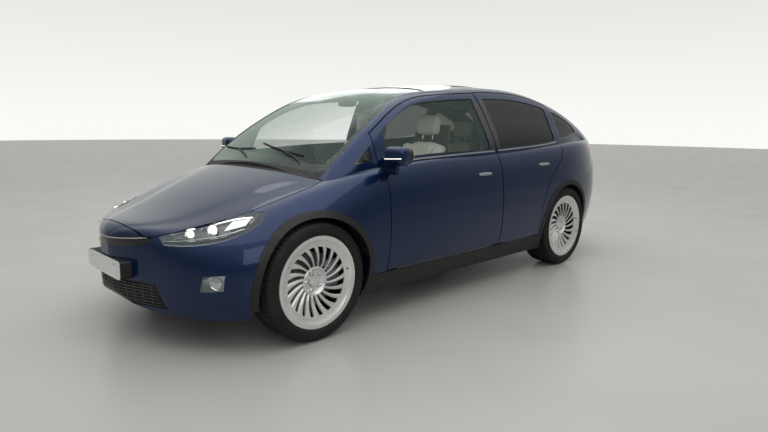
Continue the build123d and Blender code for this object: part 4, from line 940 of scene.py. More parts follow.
# ---- seats ----
def pillow(size, crown, pinch, count=(44, 60)):
    """A cushion lying flat. Across (u) and along (v) run from -1 to 1. Its outline is a rounded square
    whose sides pull in by pinch between the corners; its top stands at half the thickness plus
    crown times (1 - u^4)(1 - v^4), and its underside is flat."""
    u = np.linspace(-math.pi, math.pi, count[1], endpoint=False)
    w = np.linspace(-math.pi / 2, math.pi / 2, count[0])[:, None]
    c, s = np.cos(u), np.sin(u)
    square = 1 / np.maximum(np.abs(c), np.abs(s)) * (1 - 0.12 * np.abs(np.sin(2 * u)) ** 6)
    pull = 1 - pinch * np.cos(2 * u) ** 2
    flat, rise = bent(np.cos(w), 0.42), bent(np.sin(w), 0.42)
    x, y = size[0] / 2 * flat * c * square * pull, size[1] / 2 * flat * s * square * pull
    a, b = 2 * x / size[0], 2 * y / size[1]
    z = size[2] / 2 * rise + crown * (rise > 0) * np.clip(1 - a**4, 0, 1) * np.clip(1 - b**4, 0, 1)
    return grid(coords(x, y, z), wrap_columns=True)


def bolstered(surface, size, height, start=0.62):
    """Raises the two long sides of a cushion: by height times a smooth step of |x| past start."""
    points, faces = surface
    share = np.clip((np.abs(points[:, 0]) / (size[0] / 2) - start) / (0.9 - start), 0, 1)
    step = share**2 * (3 - 2 * share)
    lifted = points.copy()
    lifted[:, 2] += height * step * (points[:, 2] > 0)
    return lifted, faces


def puffed(name, surface, travel, voxel=0.006, pressure=4.0, steps=20):
    """A cushion's mesh after a short cloth simulation under inner pressure, as (vertices, faces). A
    point moves no further than travel."""
    points, faces = surface
    mesh = bpy.data.meshes.new(name)
    mesh.from_pydata(points.tolist(), [], np.asarray(faces).tolist())
    work = bmesh.new()
    work.from_mesh(mesh)
    bmesh.ops.remove_doubles(work, verts=work.verts, dist=WELD)
    bmesh.ops.recalc_face_normals(work, faces=work.faces)
    work.to_mesh(mesh)
    work.free()
    obj = bpy.data.objects.new(name, mesh)
    bpy.context.scene.collection.objects.link(obj)
    remesh = obj.modifiers.new("remesh", "REMESH")
    remesh.mode, remesh.voxel_size = "VOXEL", voxel
    start = mesh_arrays(obj)
    calm = bpy.data.meshes.new(name + "_calm")
    calm.from_pydata(start[0].tolist(), [], start[1])
    obj.modifiers.clear()
    obj.data = calm
    cloth = obj.modifiers.new("cloth", "CLOTH")
    cloth.settings.use_pressure = True
    cloth.settings.uniform_pressure_force = pressure
    cloth.settings.quality = 5
    cloth.settings.tension_stiffness = cloth.settings.compression_stiffness = 25
    cloth.settings.bending_stiffness = 2.0
    cloth.settings.effector_weights.gravity = 0
    cloth.collision_settings.use_collision = False
    scene = bpy.context.scene
    cloth.point_cache.frame_start, cloth.point_cache.frame_end = 1, steps
    for step in range(1, steps + 1):
        scene.frame_set(step)
    swollen = mesh_arrays(obj)
    scene.frame_set(1)
    move = swollen[0] - start[0]
    far = np.linalg.norm(move, axis=1, keepdims=True)
    start = (start[0] + move * np.minimum(1, travel / np.maximum(far, 1e-9)), start[1])
    bpy.data.objects.remove(obj)
    return start


def mesh_arrays(obj):
    """An object's evaluated vertices as an array and its faces as lists."""
    bpy.context.view_layer.update()
    shown = obj.evaluated_get(bpy.context.evaluated_depsgraph_get()).to_mesh()
    points = np.empty(len(shown.vertices) * 3)
    shown.vertices.foreach_get("co", points)
    loops = np.empty(len(shown.loops), int)
    shown.loops.foreach_get("vertex_index", loops)
    starts = np.empty(len(shown.polygons), int)
    shown.polygons.foreach_get("loop_start", starts)
    return points.reshape(-1, 3), [part.tolist() for part in np.split(loops, starts[1:])]


def channelled(surface, lines, depth, width):
    """Presses sewn channels into a cushion's top: each line is (axis, place), and a point sinks by
    depth times exp(-(distance / width)^2)."""
    points, faces = surface
    top = points[:, 2] > 0
    sunk = points.copy()
    for axis, place, reach in lines:
        other = np.abs(points[:, 1 - axis]) < reach
        sunk[:, 2] -= depth * np.exp(-((points[:, axis] - place) / width) ** 2) * top * other
    return sunk, faces


def moved(surface, matrix):
    """A surface whose faces are lists, moved by a 4 by 4 matrix."""
    points, faces = surface
    return (np.c_[points, np.ones(len(points))] @ np.asarray(matrix).T)[:, :3], faces


def upholstered(row, name, x, shapes, places):
    """A seat's cushion, back and headrest, flat padded shapes tipped up into their places at (y, z) by an
    angle in degrees. Gives the cushion."""
    made = []
    for part, shape, place, fill in zip(("seat_cushion", "seat_back", "headrest"), shapes, places,
                                        (0.7, 0.7, 0.8)):
        pad = piece(f"{row}_{part}_{name}", moved(shape, tipped(x, *place)), "body", "seat",
                    smooth=80, weld=False)
        made.append(pad)
    return made[0]


def headrest_posts(name, x, half, foot, top):
    """A headrest's two posts, each from one (y, z) point to another, half to the left and right of x."""
    posts = [swept([(x + dx, *foot), (x + dx, *top)], ring_profile(0.0065, 12)) for dx in (-half, half)]
    piece(name, joined(posts), "body", "bright")


class SUV_OT_front_seats(bpy.types.Operator):
    """Upholsters the front seats: cushions and backs puffed by cloth simulation, shells and headrests"""

    bl_idname = "suv.front_seats"
    bl_label = "Front seats"

    def execute(self, context):
        size, back = (0.47, 0.50, 0.11), (0.46, 0.62, 0.10)
        seat = puffed("seat", bolstered(pillow(size, 0.012, 0.02), size, 0.035), 0.024)
        seat = channelled(seat, [(0, -0.135, 0.2), (0, 0.135, 0.2), (1, -0.12, 0.13), (1, 0.06, 0.13)],
                          0.010, 0.008)
        rest = puffed("rest", bolstered(pillow(back, 0.010, 0.03), back, 0.045), 0.024)
        rest = channelled(rest, [(0, -0.125, 0.26), (0, 0.125, 0.26), (1, -0.10, 0.12), (1, 0.10, 0.12)],
                          0.010, 0.008)
        head = puffed("head", pillow((0.235, 0.17, 0.075), 0.008, 0.03), 0.014)
        for side, sign in SIDES.items():
            x = 0.385 * sign
            upholstered("front", side, x, (seat, rest, head),
                                    ((-0.428, 0.560, -4), (-0.090, 0.905, 72), (0.018, 1.318, 80)))
            self.shell(side, x)
        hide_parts("front_seats")
        return {"FINISHED"}

    def shell(self, side, x):
        """The hard back shell, bent to the rear by 52 mm times (1 - u^2) to the 0.4, the base and rails."""
        u = np.linspace(-1, 1, 24)
        v = np.linspace(0, 1, 30)[:, None]
        half = 0.225 * (1 - 0.25 * v**3)
        y = -0.180 + 0.325 * v * 0.80 + 0.052 * np.sqrt(np.clip(1 - u**2, 0, 1)) ** 0.8
        rear = coords(x + half * u, y, 0.52 + 0.80 * v)
        piece(f"seat_shell_{side}", patch(rear[:, ::-1], 0.012), "body", "trim")
        base = superellipsoid((0.44, 0.46, 0.09), (0.3, 0.4), at=(x, -0.43, 0.465))
        piece(f"seat_base_{side}", base, "body", "trim")
        rails = joined([box_surface((x + dx - 0.02, -0.66, 0.331), (x + dx + 0.02, -0.19, 0.372))
                        for dx in (-0.19, 0.19)] +
                       [box_surface((x + dx - 0.012, dy, 0.370), (x + dx + 0.012, dy + 0.05, 0.435))
                        for dx in (-0.19, 0.19) for dy in (-0.62, -0.27)])
        bevelled(piece(f"seat_rails_{side}", rails, "body", "iron", smooth=False), 0.004)
        headrest_posts(f"headrest_posts_{side}", x, 0.055, (0.005, 1.20), (0.022, 1.30))


class SUV_OT_rear_seats(bpy.types.Operator):
    """Upholsters the rear row: three puffed cushions, backs and headrests on one plinth"""

    bl_idname = "suv.rear_seats"
    bl_label = "Rear seats"

    def execute(self, context):
        size, back = (0.395, 0.50, 0.11), (0.39, 0.58, 0.09)
        seat = channelled(puffed("seat", bolstered(pillow(size, 0.012, 0.02), size, 0.018), 0.022),
                          [(0, -0.11, 0.2), (0, 0.11, 0.2), (1, 0.0, 0.11)], 0.009, 0.008)
        rest = channelled(puffed("rest", bolstered(pillow(back, 0.010, 0.02), back, 0.020), 0.022),
                          [(0, -0.11, 0.25), (0, 0.11, 0.25), (1, 0.0, 0.11)], 0.009, 0.008)
        head = puffed("head", pillow((0.225, 0.16, 0.07), 0.008, 0.03), 0.014)
        first = None
        for name, x in (("left", 0.44), ("middle", 0.0), ("right", -0.44)):
            cushion = upholstered("rear", name, x, (seat, rest, head),
                                  ((0.542, 0.560, -4), (0.878, 0.885, 72), (0.985, 1.268, 80)))
            first = first or cushion
            shell = superellipsoid((0.40, 0.60, 0.055), (0.25, 0.3))
            piece(f"rear_seat_shell_{name}", placed(tipped(x, 0.928, 0.885, 72), shell), "body", "trim")
            headrest_posts(f"rear_headrest_posts_{name}", x, 0.05, (0.966, 1.15), (0.985, 1.25))
        plinth = box_surface((-0.655, 0.42, 0.335), (0.655, 0.93, 0.505))
        bevelled(piece("rear_seat_plinth", plinth, "body", "trim", smooth=False), 0.02, 3)
        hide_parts("rear_seats")
        return {"FINISHED"}


# ---- cabin ----
class SUV_OT_steering_wheel(bpy.types.Operator):
    """Makes the leather steering wheel with three spokes, a centre pad, stalks and its column"""

    bl_idname = "suv.steering_wheel"
    bl_label = "Steering wheel"

    def execute(self, context):
        middle, tilt = (0.385, -0.568, 0.985), math.atan2(0.9, 0.436)
        place = shifted(*middle) @ turned("X", -tilt)
        rim = self.rim()
        made = piece("steering_wheel_rim", placed(place, rim), "body", "dark_leather")
        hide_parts("steering_wheel")
        u, ring = np.linspace(0, 1, 16)[:, None], ring_profile(1.0, 14)
        rise = -0.004 - 0.022 * np.sin(math.pi * u) * (1 - u) - 0.012 * (1 - u)
        arm = coords(0.040 + 0.136 * u, (0.024 - 0.008 * u) * ring[:, 0], rise + 0.007 * ring[:, 1])
        spokes = copies(grid(arm, wrap_columns=True), [turned("Z", t) for t in (0.0, math.pi, -math.pi / 2)])
        piece("steering_wheel_spokes", placed(place, spokes), "body", "trim")
        pad = superellipsoid((0.135, 0.105, 0.048), (0.5, 0.6), at=(0, 0, -0.006))
        piece("steering_wheel_pad", placed(place, pad), "body", "dark_leather")
        rollers = joined([superellipsoid((0.012, 0.022, 0.018), (0.6, 0.8), (12, 20), at=(dx, 0.004, 0.006))
                          for dx in (-0.088, 0.088)])
        piece("steering_wheel_rollers", placed(place, rollers), "body", "bright")
        column = lathe([(-0.190, 0.001), (-0.190, 0.036), (-0.110, 0.046), (-0.050, 0.044), (-0.030, 0.034),
                        (-0.030, 0.001)], 40, axis="Z")
        stalks = [swept([(0.03 * sx, 0, -0.060), (0.10 * sx, 0.01, -0.058), (0.165 * sx, 0.015, -0.040)],
                        ring_profile(0.0062, 12, 1.3), up=(0, 1, 0)) for sx in (-1, 1)]
        piece("steering_column", placed(place, joined([column, *stalks])), "body",
              "black_plastic")
        return {"FINISHED"}

    def rim(self):
        """A torus of radius 178 mm whose tube is 15 by 16.5 mm, with thumb swellings at ten and two and
        3 mm finger waves under it."""
        t = np.linspace(0, 2 * math.pi, 160, endpoint=False)[:, None]
        s = np.linspace(0, 2 * math.pi, 24, endpoint=False)
        swell = 0.0025 * (np.exp(-((t - 0.6) / 0.25) ** 2) + np.exp(-((t - math.pi + 0.6) / 0.25) ** 2))
        tube = 0.0150 + swell + 0.0006 * np.cos(40 * t) * (np.sin(s) < 0)
        radius = 0.178 + tube * np.cos(s)
        return grid(coords(radius * np.cos(t), radius * np.sin(t), 1.08 * tube * np.sin(s)),
                    wrap_rows=True, wrap_columns=True)


class SUV_OT_dashboard(bpy.types.Operator):
    """Dresses the dashboard: portrait screen, instrument display, vents, trim strip, console and pedals"""

    bl_idname = "suv.dashboard"
    bl_label = "Dashboard and console"

    def execute(self, context):
        self.screens()
        self.vents()
        self.console()
        self.pedals()
        return {"FINISHED"}

    def screens(self):
        """Bevelled plates tipped towards the seats, and a rounded hood over the instruments."""
        for name, size, place, finish, edge in (
                ("centre_screen_frame", (0.262, 0.352, 0.016), (0.0, -0.724, 0.862, 68), "bright", 0.006),
                ("centre_screen", (0.252, 0.342, 0.006), (0.0, -0.7165, 0.8655, 68), "screen", 0.002),
                ("instrument_display", (0.290, 0.090, 0.012), (0.385, -0.780, 1.002, 78), "screen", 0.004)):
            half = np.array(size) / 2
            plate = placed(tipped(*place), box_surface(-half, half))
            bevelled(piece(name, plate, "body", finish, smooth=False), edge, 3)
        cowl = superellipsoid((0.370, 0.150, 0.130), (0.45, 0.55), at=(0.385, -0.855, 0.995))
        piece("instrument_hood", cowl, "body", "dark_leather")

    def vents(self):
        """Wide vents of six slats and a rounded box, a bright strip across and the glovebox's seam."""
        slats = []
        for x0, half in ((-0.62, 0.10), (-0.235, 0.085), (0.62, 0.10)):
            for k in range(6):
                x = np.linspace(x0 - half, x0 + half, 12)
                path = coords(x, -0.7345 - 0.0020 * k, 0.905 + 0.0105 * k)
                slats.append(swept(path, [(-0.010, -0.001), (0.010, -0.0025), (0.010, 0), (-0.010, 0.0015)]))
            slats.append(superellipsoid((2 * half + 0.03, 0.03, 0.080), (0.3, 0.3), (16, 32),
                                        at=(x0, -0.752, 0.932)))
        piece("dashboard_vents", joined(slats), "body", "gloss_black", smooth=30)
        x = np.linspace(-0.76, 0.76, 61)
        strip = swept(coords(x, -0.740 + 0.03 * (x / 0.76) ** 4, 0.875),
                      [(-0.010, -0.012), (0.008, -0.010), (0.010, 0), (0.008, 0.010), (-0.010, 0.012)])
        piece("dashboard_strip", strip, "body", "bright")
        lid = coords([-0.62, -0.22, -0.22, -0.62, -0.62], -0.808, [0.72, 0.72, 0.83, 0.83, 0.72])
        seam = swept(lid, ring_profile(0.002, 6), up=(0, 1, 0))
        piece("glovebox_seam", seam, "body", "gloss_black")

    def console(self):
        """Centre console: a padded armrest, two cup holders and a bright rim round the tray."""
        rest = superellipsoid((0.200, 0.300, 0.060), (0.35, 0.5), at=(0.0, -0.170, 0.590))
        piece("console_armrest", rest, "body", "dark_leather")
        cup = lathe([(0.0, 0.030), (0.003, 0.036), (0.003, 0.042), (-0.002, 0.043), (-0.050, 0.036),
                     (-0.055, 0.0005), (-0.050, 0.0005), (-0.045, 0.033)], 48, axis="Z", closed=False)
        cups = copies(cup, [shifted(0.0, y, 0.566) for y in (-0.45, -0.55)])
        piece("console_cup_holders", cups, "body", "gloss_black")
        line = flank([(-1.00, 0.560), (-0.70, 0.560), (-0.30, 0.560), (-0.08, 0.560)], 40, 0.1065)
        pair("console_edge", swept(line, ring_profile(0.005, 10)), "body", "bright")

    def pedals(self):
        """Two metal pedals with rubber bars, and the footrest, in the driver's footwell."""
        plates, bars = [], []
        for x0, size in ((0.31, (0.055, 0.130)), (0.43, (0.080, 0.060)), (0.545, (0.070, 0.150))):
            place = tipped(x0, -0.985, 0.47, 62)
            plates.append(placed(place, superellipsoid((*size, 0.010), (0.2, 0.3), (12, 24))))
            for k in range(-2, 3):
                bar = superellipsoid((size[0] * 0.8, size[1] / 14, 0.005), (0.3, 0.5), (8, 16))
                bars.append(placed(place @ shifted(0, k * size[1] / 6, 0.006), bar))
        piece("pedals", joined(plates), "body", "alloy")
        piece("pedal_rubbers", joined(bars), "body", "tyre")
        arms = [swept([(x0, -1.02, 0.50), (x0, -1.10, 0.60), (x0, -1.16, 0.66)], ring_profile(0.008, 8))
                for x0 in (0.31, 0.43)]
        piece("pedal_arms", joined(arms), "body", "iron")


class SUV_OT_cabin_trim(bpy.types.Operator):
    """Lines the doors, floor and roof: door cards, carpets, belts, visors and the inner mirror"""

    bl_idname = "suv.cabin_trim"
    bl_label = "Door cards, carpets and belts"

    def execute(self, context):
        self.door_cards()
        self.belts()
        self.carpets()
        self.mirror()
        return {"FINISHED"}

    def door_cards(self):
        """Padded panels on the doors' inner faces: rows laid on the door from inside, 6 mm thick, with an
        armrest, and a speaker in the front doors."""
        for name, node, y0, y1 in (("front", "front_door", -0.96, 0.185),
                                   ("rear", "falcon_door", 0.33, 0.92)):
            y = np.linspace(y0, y1, 44)
            foot = 0.42 if name == "front" else np.interp(y, (0.33, 0.80, 0.92), (0.42, 0.42, 0.62))
            z = foot + (0.965 - foot) * np.linspace(0, 1, 30)[:, None]
            points = laid(coords(INSIDE, y, z), f"{node}_left", "X", "+")
            points[..., 0] -= 0.0015 + 0.010 * np.exp(-((z - 0.66) / 0.10) ** 2)
            pair(f"door_card_{name}", patch(points, 0.006), node, "dark_leather")
            v = np.linspace(0, 1, 40)
            arm = laid(coords(INSIDE, y0 + 0.25 + (y1 - y0 - 0.42) * v, 0.715 + 0.03 * v), f"{node}_left",
                       "X", "+")
            rest = swept(arm - [0.030, 0, 0], [(-0.030, -0.016), (0.030, -0.022), (0.034, 0.0),
                                               (0.028, 0.016), (-0.026, 0.018), (-0.034, 0.004)])
            pair(f"door_armrest_{name}", rest, node, "seat")
        x = laid([(INSIDE, -0.72, 0.50)], "front_door_left", "X", "+")[0, 0] - 0.012
        cone = lathe([(0.004, 0.0005), (0.004, 0.070), (0.010, 0.076), (0.002, 0.080), (-0.004, 0.076),
                      (-0.004, 0.0005)], 56)
        pair("door_speaker", placed(shifted(x, -0.72, 0.50), cone), "front_door", "gloss_black")

    def belts(self):
        """Seat belts: 47 mm webbing from the pillar's guide to the floor, swept flat."""
        path = smooth_path([(0.700, 0.200, 1.16), (0.735, 0.195, 0.95), (0.765, 0.190, 0.70),
                            (0.770, 0.185, 0.42)], 30)
        strap = swept(path, [(-0.0235, -0.0008), (0.0235, -0.0008), (0.0235, 0.0008), (-0.0235, 0.0008)],
                      up=(1, 0, 0))
        pair("belt_webbing", strap, "body", "belt", smooth=30)
        guide = superellipsoid((0.016, 0.055, 0.060), (0.4, 0.5), (14, 24), at=(0.700, 0.203, 1.175))
        pair("belt_guide", guide, "body", "black_plastic")

    def carpets(self):
        """Carpet on the cabin and cargo floors: slabs with a wave of 1 mm, and mats in the footwells."""
        floor = node_box("floor_pan")[1][2]
        for name, half, y0, y1, z in (("cabin", 0.80, -1.17, 0.95, floor - 0.008),
                                      ("cargo", 0.665, 1.02, 2.28, 0.586)):
            x, y = np.linspace(-half, half, 60), np.linspace(y0, y1, 80)[:, None]
            top = coords(x, y, z + 0.0045 + 0.001 * np.sin(9 * x) * np.sin(7 * y))
            piece(f"{name}_carpet", patch(top, 0.003), "body", "carpet")
        for k, (x0, y0) in enumerate(((0.40, -0.82), (-0.40, -0.82), (0.42, 0.30), (-0.42, 0.30))):
            mat = superellipsoid((0.46, 0.36, 0.012), (0.25, 0.4), at=(x0, y0, floor + 0.003))
            piece(f"floor_mat_{k}", mat, "body", "carpet")

    def mirror(self):
        """The inner mirror on its stem, and two folded sun visors."""
        head = placed(tipped(0, -0.560, 1.492, -12), superellipsoid((0.215, 0.030, 0.062), (0.45, 0.5)))
        stem = swept([(0, -0.565, 1.500), (0, -0.590, 1.530), (0, -0.600, 1.560)], ring_profile(0.008, 10))
        piece("inner_mirror", joined([head, stem]), "body", "gloss_black")
        visor = placed(tipped(0.37, -0.235, 1.560, 9), superellipsoid((0.30, 0.150, 0.018), (0.3, 0.5)))
        pair("sun_visor", visor, "body", "headliner")


# ---- rear ----
def across(points, node, sides):
    """Points of (x, z) laid on a node along the car: sides "+" from ahead and "-" from behind."""
    points = np.asarray(points, float)
    return laid(coords(points[..., 0], -FAR if sides == "+" else FAR, points[..., 1]), node, "Y", sides)


def flat_curve(line, count):
    """A smooth curve through (x, z) points."""
    return smooth_path([(*p, 0.0) for p in line], count)[:, :2]


class SUV_OT_rear_trim(bpy.types.Operator):
    """Adds the tail lamps' guides and bowls, the bright strip, brake light, diffuser and reflectors"""

    bl_idname = "suv.rear_trim"
    bl_label = "Tail lamps and rear trim"

    def execute(self, context):
        self.lamps()
        self.strip()
        self.diffuser()
        return {"FINISHED"}

    def lamps(self):
        """Inside each lens: a red bowl, red light guides along its lower and upper edges and fine cross
        ribs.
        """
        rows = {"tailgate_lamps": ("tailgate", [(0.640, 0.972), (0.560, 0.985), (0.470, 1.022)],
                                   [(0.640, 1.060), (0.560, 1.046), (0.470, 1.030)]),
                "tail_lamps": ("body", [(0.676, 0.968), (0.740, 0.962), (0.815, 0.968)],
                               [(0.676, 1.066), (0.740, 1.074), (0.815, 1.078)])}
        for node, (body, low, high) in rows.items():
            short = "inner" if node == "tailgate_lamps" else "outer"
            bowl = blended(flat_curve(low, 30), flat_curve(high, 30), 12)
            bowl = across(bowl, node, "-") - [0, 0.016, 0]
            piece(f"tail_lamp_bowls_{short}", both_sides(patch(bowl, 0.002)), body, "lamp_red")
            guides = []
            for line in (low, high):
                path = across(flat_curve(line, 40), node, "-")
                guides.append(swept(path - [0, 0.009, 0], ring_profile(0.0045, 10)))
            piece(f"tail_lamp_guides_{short}", both_sides(joined(guides)), body, "red_light")
            ribs = []
            for x0 in np.linspace(low[0][0] + 0.02 * np.sign(low[1][0] - low[0][0]), low[2][0], 9)[1:-1]:
                foot = np.interp(x0, *zip(*sorted(low))) + 0.014
                head = np.interp(x0, *zip(*sorted(high))) - 0.014
                if head - foot > 0.01:
                    path = across(coords(x0, np.linspace(foot, head, 8)), node, "-")
                    ribs.append(swept(path - [0, 0.011, 0], ring_profile(0.0022, 8), up=(0, 1, 0)))
            piece(f"tail_lamp_ribs_{short}", both_sides(joined(ribs)), body, "lamp_red")

    def strip(self):
        """A bright strip across the tailgate, a release button, a high brake light and heater wires."""
        u = np.linspace(-1, 1, 61)
        line = across(coords(0.420 * u, 0.985 + 0.012 * u**2), "tailgate", "-")
        bar = swept(line + [0, 0.002, 0], [(-0.005, -0.009), (0.004, -0.009), (0.006, 0.0), (0.004, 0.009),
                                           (-0.005, 0.009)])
        piece("tailgate_strip", bar, "tailgate", "bright")
        spot = across([(0.0, 0.962)], "tailgate", "-")[0]
        button = superellipsoid((0.085, 0.014, 0.018), (0.4, 0.5), (14, 28), at=spot)
        piece("tailgate_button", button, "tailgate", "black_plastic")
        v = np.linspace(0, 1, 6)[:, None]
        lens = laid(coords(0.150 * u, 1.700 + 0.014 * v, 2.0), "rear_window", "Z", "-") + [0, 0, 0.0012]
        piece("high_brake_light", patch(lens, 0.003), "tailgate", "lamp_red")
        wires = []
        for k in range(9):
            line = laid(coords(np.linspace(-0.50, 0.50, 40), 1.76 + 0.052 * k, 2.0), "rear_window", "Z", "-")
            wires.append(swept(line - [0, 0, 0.0062], ring_profile(0.0006, 4)))
        piece("rear_window_heater", joined(wires), "tailgate", "iron")

    def diffuser(self):
        """A black panel under the rear bumper with four fins, and a reflector each side."""
        x = np.linspace(-0.64, 0.64, 65)
        z = np.linspace(0.300, 0.415, 12)[:, None] + 0.03 * (x / 0.64) ** 4
        panel = across(coords(x, z), "rear_bumper", "-") + [0, 0.002, 0]
        piece("rear_diffuser", patch(panel[:, ::-1], 0.004), "body", "black_plastic")
        fins = []
        for x0 in (-0.36, -0.12, 0.12, 0.36):
            line = across(coords(x0, np.linspace(0.305, 0.400, 10)), "rear_bumper", "-")
            fins.append(swept(line + [0, 0.004, 0], [(-0.012, -0.004), (0.012, -0.004), (0.010, 0.004),
                                                     (-0.010, 0.004)], up=(0, 1, 0)))
        piece("rear_diffuser_fins", joined(fins), "body", "black_plastic")
        low, high = [(0.660, 0.452), (0.780, 0.462)], [(0.660, 0.476), (0.780, 0.486)]
        mark = across(blended(np.linspace(*low, 16), np.linspace(*high, 16), 5), "rear_bumper", "-")
        piece("rear_reflectors", both_sides(patch(mark[:, ::-1] + [0, 0.002, 0], 0.004)), "body",
              "lamp_red")


# ---- what shows when a door, the hood or the tailgate is open ----
DOOR_EDGES = {
    "front_door": [(-0.990, 0.385), (-0.985, 0.560), (-0.978, 0.800), (-0.980, 1.000), (-0.985, 1.120),
                   (-0.960, 1.262), (-0.900, 1.305), (-0.760, 1.395), (-0.610, 1.462), (-0.460, 1.507),
                   (-0.310, 1.533), (-0.110, 1.550), (0.080, 1.560), (0.205, 1.555), (0.228, 1.480),
                   (0.240, 1.300), (0.250, 1.000), (0.250, 0.700), (0.242, 0.400), (0.200, 0.380),
                   (-0.300, 0.380), (-0.800, 0.380)],
    "falcon_door": [(0.310, 0.385), (0.318, 0.700), (0.318, 1.000), (0.308, 1.300), (0.292, 1.540),
                    (0.360, 1.568), (0.700, 1.566), (0.950, 1.552), (1.150, 1.520), (1.270, 1.480),
                    (1.296, 1.380), (1.290, 1.270), (1.255, 1.145), (1.180, 1.050), (1.035, 0.925),
                    (0.925, 0.770), (0.865, 0.590), (0.855, 0.400), (0.820, 0.382), (0.500, 0.380)],
}


class SUV_OT_openings(bpy.types.Operator):
    """Adds door seals, sill plates, trunk and roof linings, and the hood's and tailgate's inner sides"""

    bl_idname = "suv.openings"
    bl_label = "Seals and linings"

    def execute(self, context):
        self.seals()
        self.front_trunk()
        self.hood_side()
        self.tailgate_side()
        self.roof_lining()
        return {"FINISHED"}

    def seals(self):
        """Rubber tubes round the doors' inner edges, laid from inside, and bright sill plates."""
        for node, line in DOOR_EDGES.items():
            path = laid(flank([*line, line[0]], 240, INSIDE)[:-1], f"{node}_left", "X", "+") - [0.001, 0, 0]
            tube = swept(path, ring_profile(0.0052, 8), up=(1, 0, 0), closed=True)
            pair(f"{node}_seal", tube, node, "tyre")
        x = np.linspace(0.895, 0.950, 6)[:, None]
        for name, y0, y1 in (("front", -0.93, 0.19), ("rear", 0.36, 0.80)):
            plate = laid(coords(x, np.linspace(y0, y1, 40), 0.60), "body_side_left", "Z", "-")
            pair(f"sill_plate_{name}", patch(plate + [0, 0, 0.002], 0.0015), "body", "bright")

    def front_trunk(self):
        """A carpeted tub: rounded-square rows that run from the floor's middle out and up the walls."""
        square = rounded_square(0.22, 120)
        scale, z = np.array([(0.001, 0.4935), (0.5, 0.4935), (0.94, 0.4935), (0.975, 0.500), (0.99, 0.520),
                             (0.995, 0.60), (1.0, 0.690), (1.004, 0.694), (1.004, 0.686), (0.999, 0.60),
                             (0.994, 0.512), (0.975, 0.4925), (0.94, 0.4915), (0.001, 0.4915)]).T[..., None]
        tub = coords(0.4520 * scale * square[:, 0], -1.857 + 0.302 * scale * square[:, 1], z)
        piece("front_trunk_lining", grid(tub, wrap_columns=True), "body", "carpet")
        y = np.linspace(-2.165, -1.575, 40)
        tubes = []
        for x0 in (-0.466, 0.466):
            line = laid(coords(x0, y, 1.1), "front_structure", "Z", "-")
            tubes.append(swept(line + [0, 0, 0.002], ring_profile(0.006, 8)))
        piece("front_trunk_seal", joined(tubes), "body", "tyre")
        latch = superellipsoid((0.070, 0.045, 0.020), (0.3, 0.4), (14, 28), at=(0, -2.330, 0.548))
        piece("hood_latch", latch, "body", "iron")

    def hood_side(self):
        """The hood's underside: a quilted pad whose relief is 4 mm times the roots of |sin ax| and |sin by|,
        a stiffening rim round it, and a striker. All are laid on it from a plane below."""
        below = 0.40
        x, y = np.linspace(-0.50, 0.50, 64), np.linspace(-2.120, -1.570, 40)[:, None]
        share = np.interp(y, (-2.12, -1.9, -1.57), (0.78, 0.95, 1.0))
        pad = laid(coords(x * share, y, below), "hood", "Z", "+")
        quilt = 0.004 * np.abs(np.sin(22 * x)) ** 0.5 * np.abs(np.sin(22 * y)) ** 0.5
        piece("hood_pad", patch(pad - coords(0, 0, 0.001 + quilt), -0.001), "hood", "carpet")
        half = [(0.44, -2.150), (0.56, -1.950), (0.60, -1.600), (0.30, -1.545)]
        line = [(-0.44, -2.150), (0, -2.190), *half, *[(-x, y) for x, y in reversed(half)]]
        rim = laid(smooth_path([(x, y, below) for x, y in line], 160)[:-1], "hood", "Z", "+")
        bead = swept(rim, [(-0.014, 0.0), (-0.009, -0.005), (0.009, -0.005), (0.014, 0.0)], closed=True)
        piece("hood_stiffener", bead, "hood", "structure")
        spot = laid([(0.0, -2.330, below)], "hood", "Z", "+")[0]
        loop = smooth_path([(-0.020, 0, 0), (-0.020, 0, -0.022), (0.020, 0, -0.022), (0.020, 0, 0)], 24)
        piece("hood_striker", swept(loop + spot, ring_profile(0.004, 8), up=(0, 1, 0)), "hood", "chrome")

    def tailgate_side(self):
        """Trim on the tailgate's inner side under the window, with a pull strap."""
        x = np.linspace(-1, 1, 70)
        z = np.linspace(0.850, 1.130, 26)[:, None]
        half = np.interp(z, (0.85, 1.0, 1.13), (0.480, 0.560, 0.585))
        card = laid(coords(x * half, 1.75, z), "tailgate", "Y", "+")
        card[..., 1] -= 0.001 + 0.006 * np.exp(-((z - 0.99) / 0.05) ** 2)
        piece("tailgate_card", patch(card, -0.004), "tailgate", "trim")
        spot = laid([(0.33, 1.75, 0.930)], "tailgate", "Y", "+")[0]
        loop = smooth_path([(-0.06, 0, 0), (-0.045, -0.030, 0), (0.045, -0.030, 0), (0.06, 0, 0)], 24) + spot
        strap = swept(loop, [(-0.002, -0.012), (0.002, -0.012), (0.002, 0.012), (-0.002, 0.012)])
        piece("tailgate_pull", strap, "tailgate", "dark_leather")

    def roof_lining(self):
        """Pale fabric under the roof between the windshield and the falcon doors, and behind them, laid on
        it from a plane below."""
        below = 1.2
        for name, y0, y1, half in (("front", -0.150, 0.250, 0.54), ("rear", 1.340, 1.520, 0.52)):
            x, y = np.linspace(-half, half, 60), np.linspace(y0, y1, 24)[:, None]
            sheet = laid(coords(x, y, below), "roof_frame", "Z", "+") - [0, 0, 0.002]
            piece(f"roof_lining_{name}", patch(sheet, -0.003), "body", "headliner")
        y, rows = np.linspace(0.36, 1.22, 50), []
        for x0, x1 in ((0.140, 0.182), (0.562, 0.600)):
            points = coords(np.linspace(x0, x1, 6)[:, None], y, below)
            sheet = laid(points, "falcon_roof_panel_left", "Z", "+")
            rows.append(patch(sheet - [0, 0, 0.002], -0.003))
        pair("falcon_roof_lining", joined(rows), "falcon_roof", "headliner")


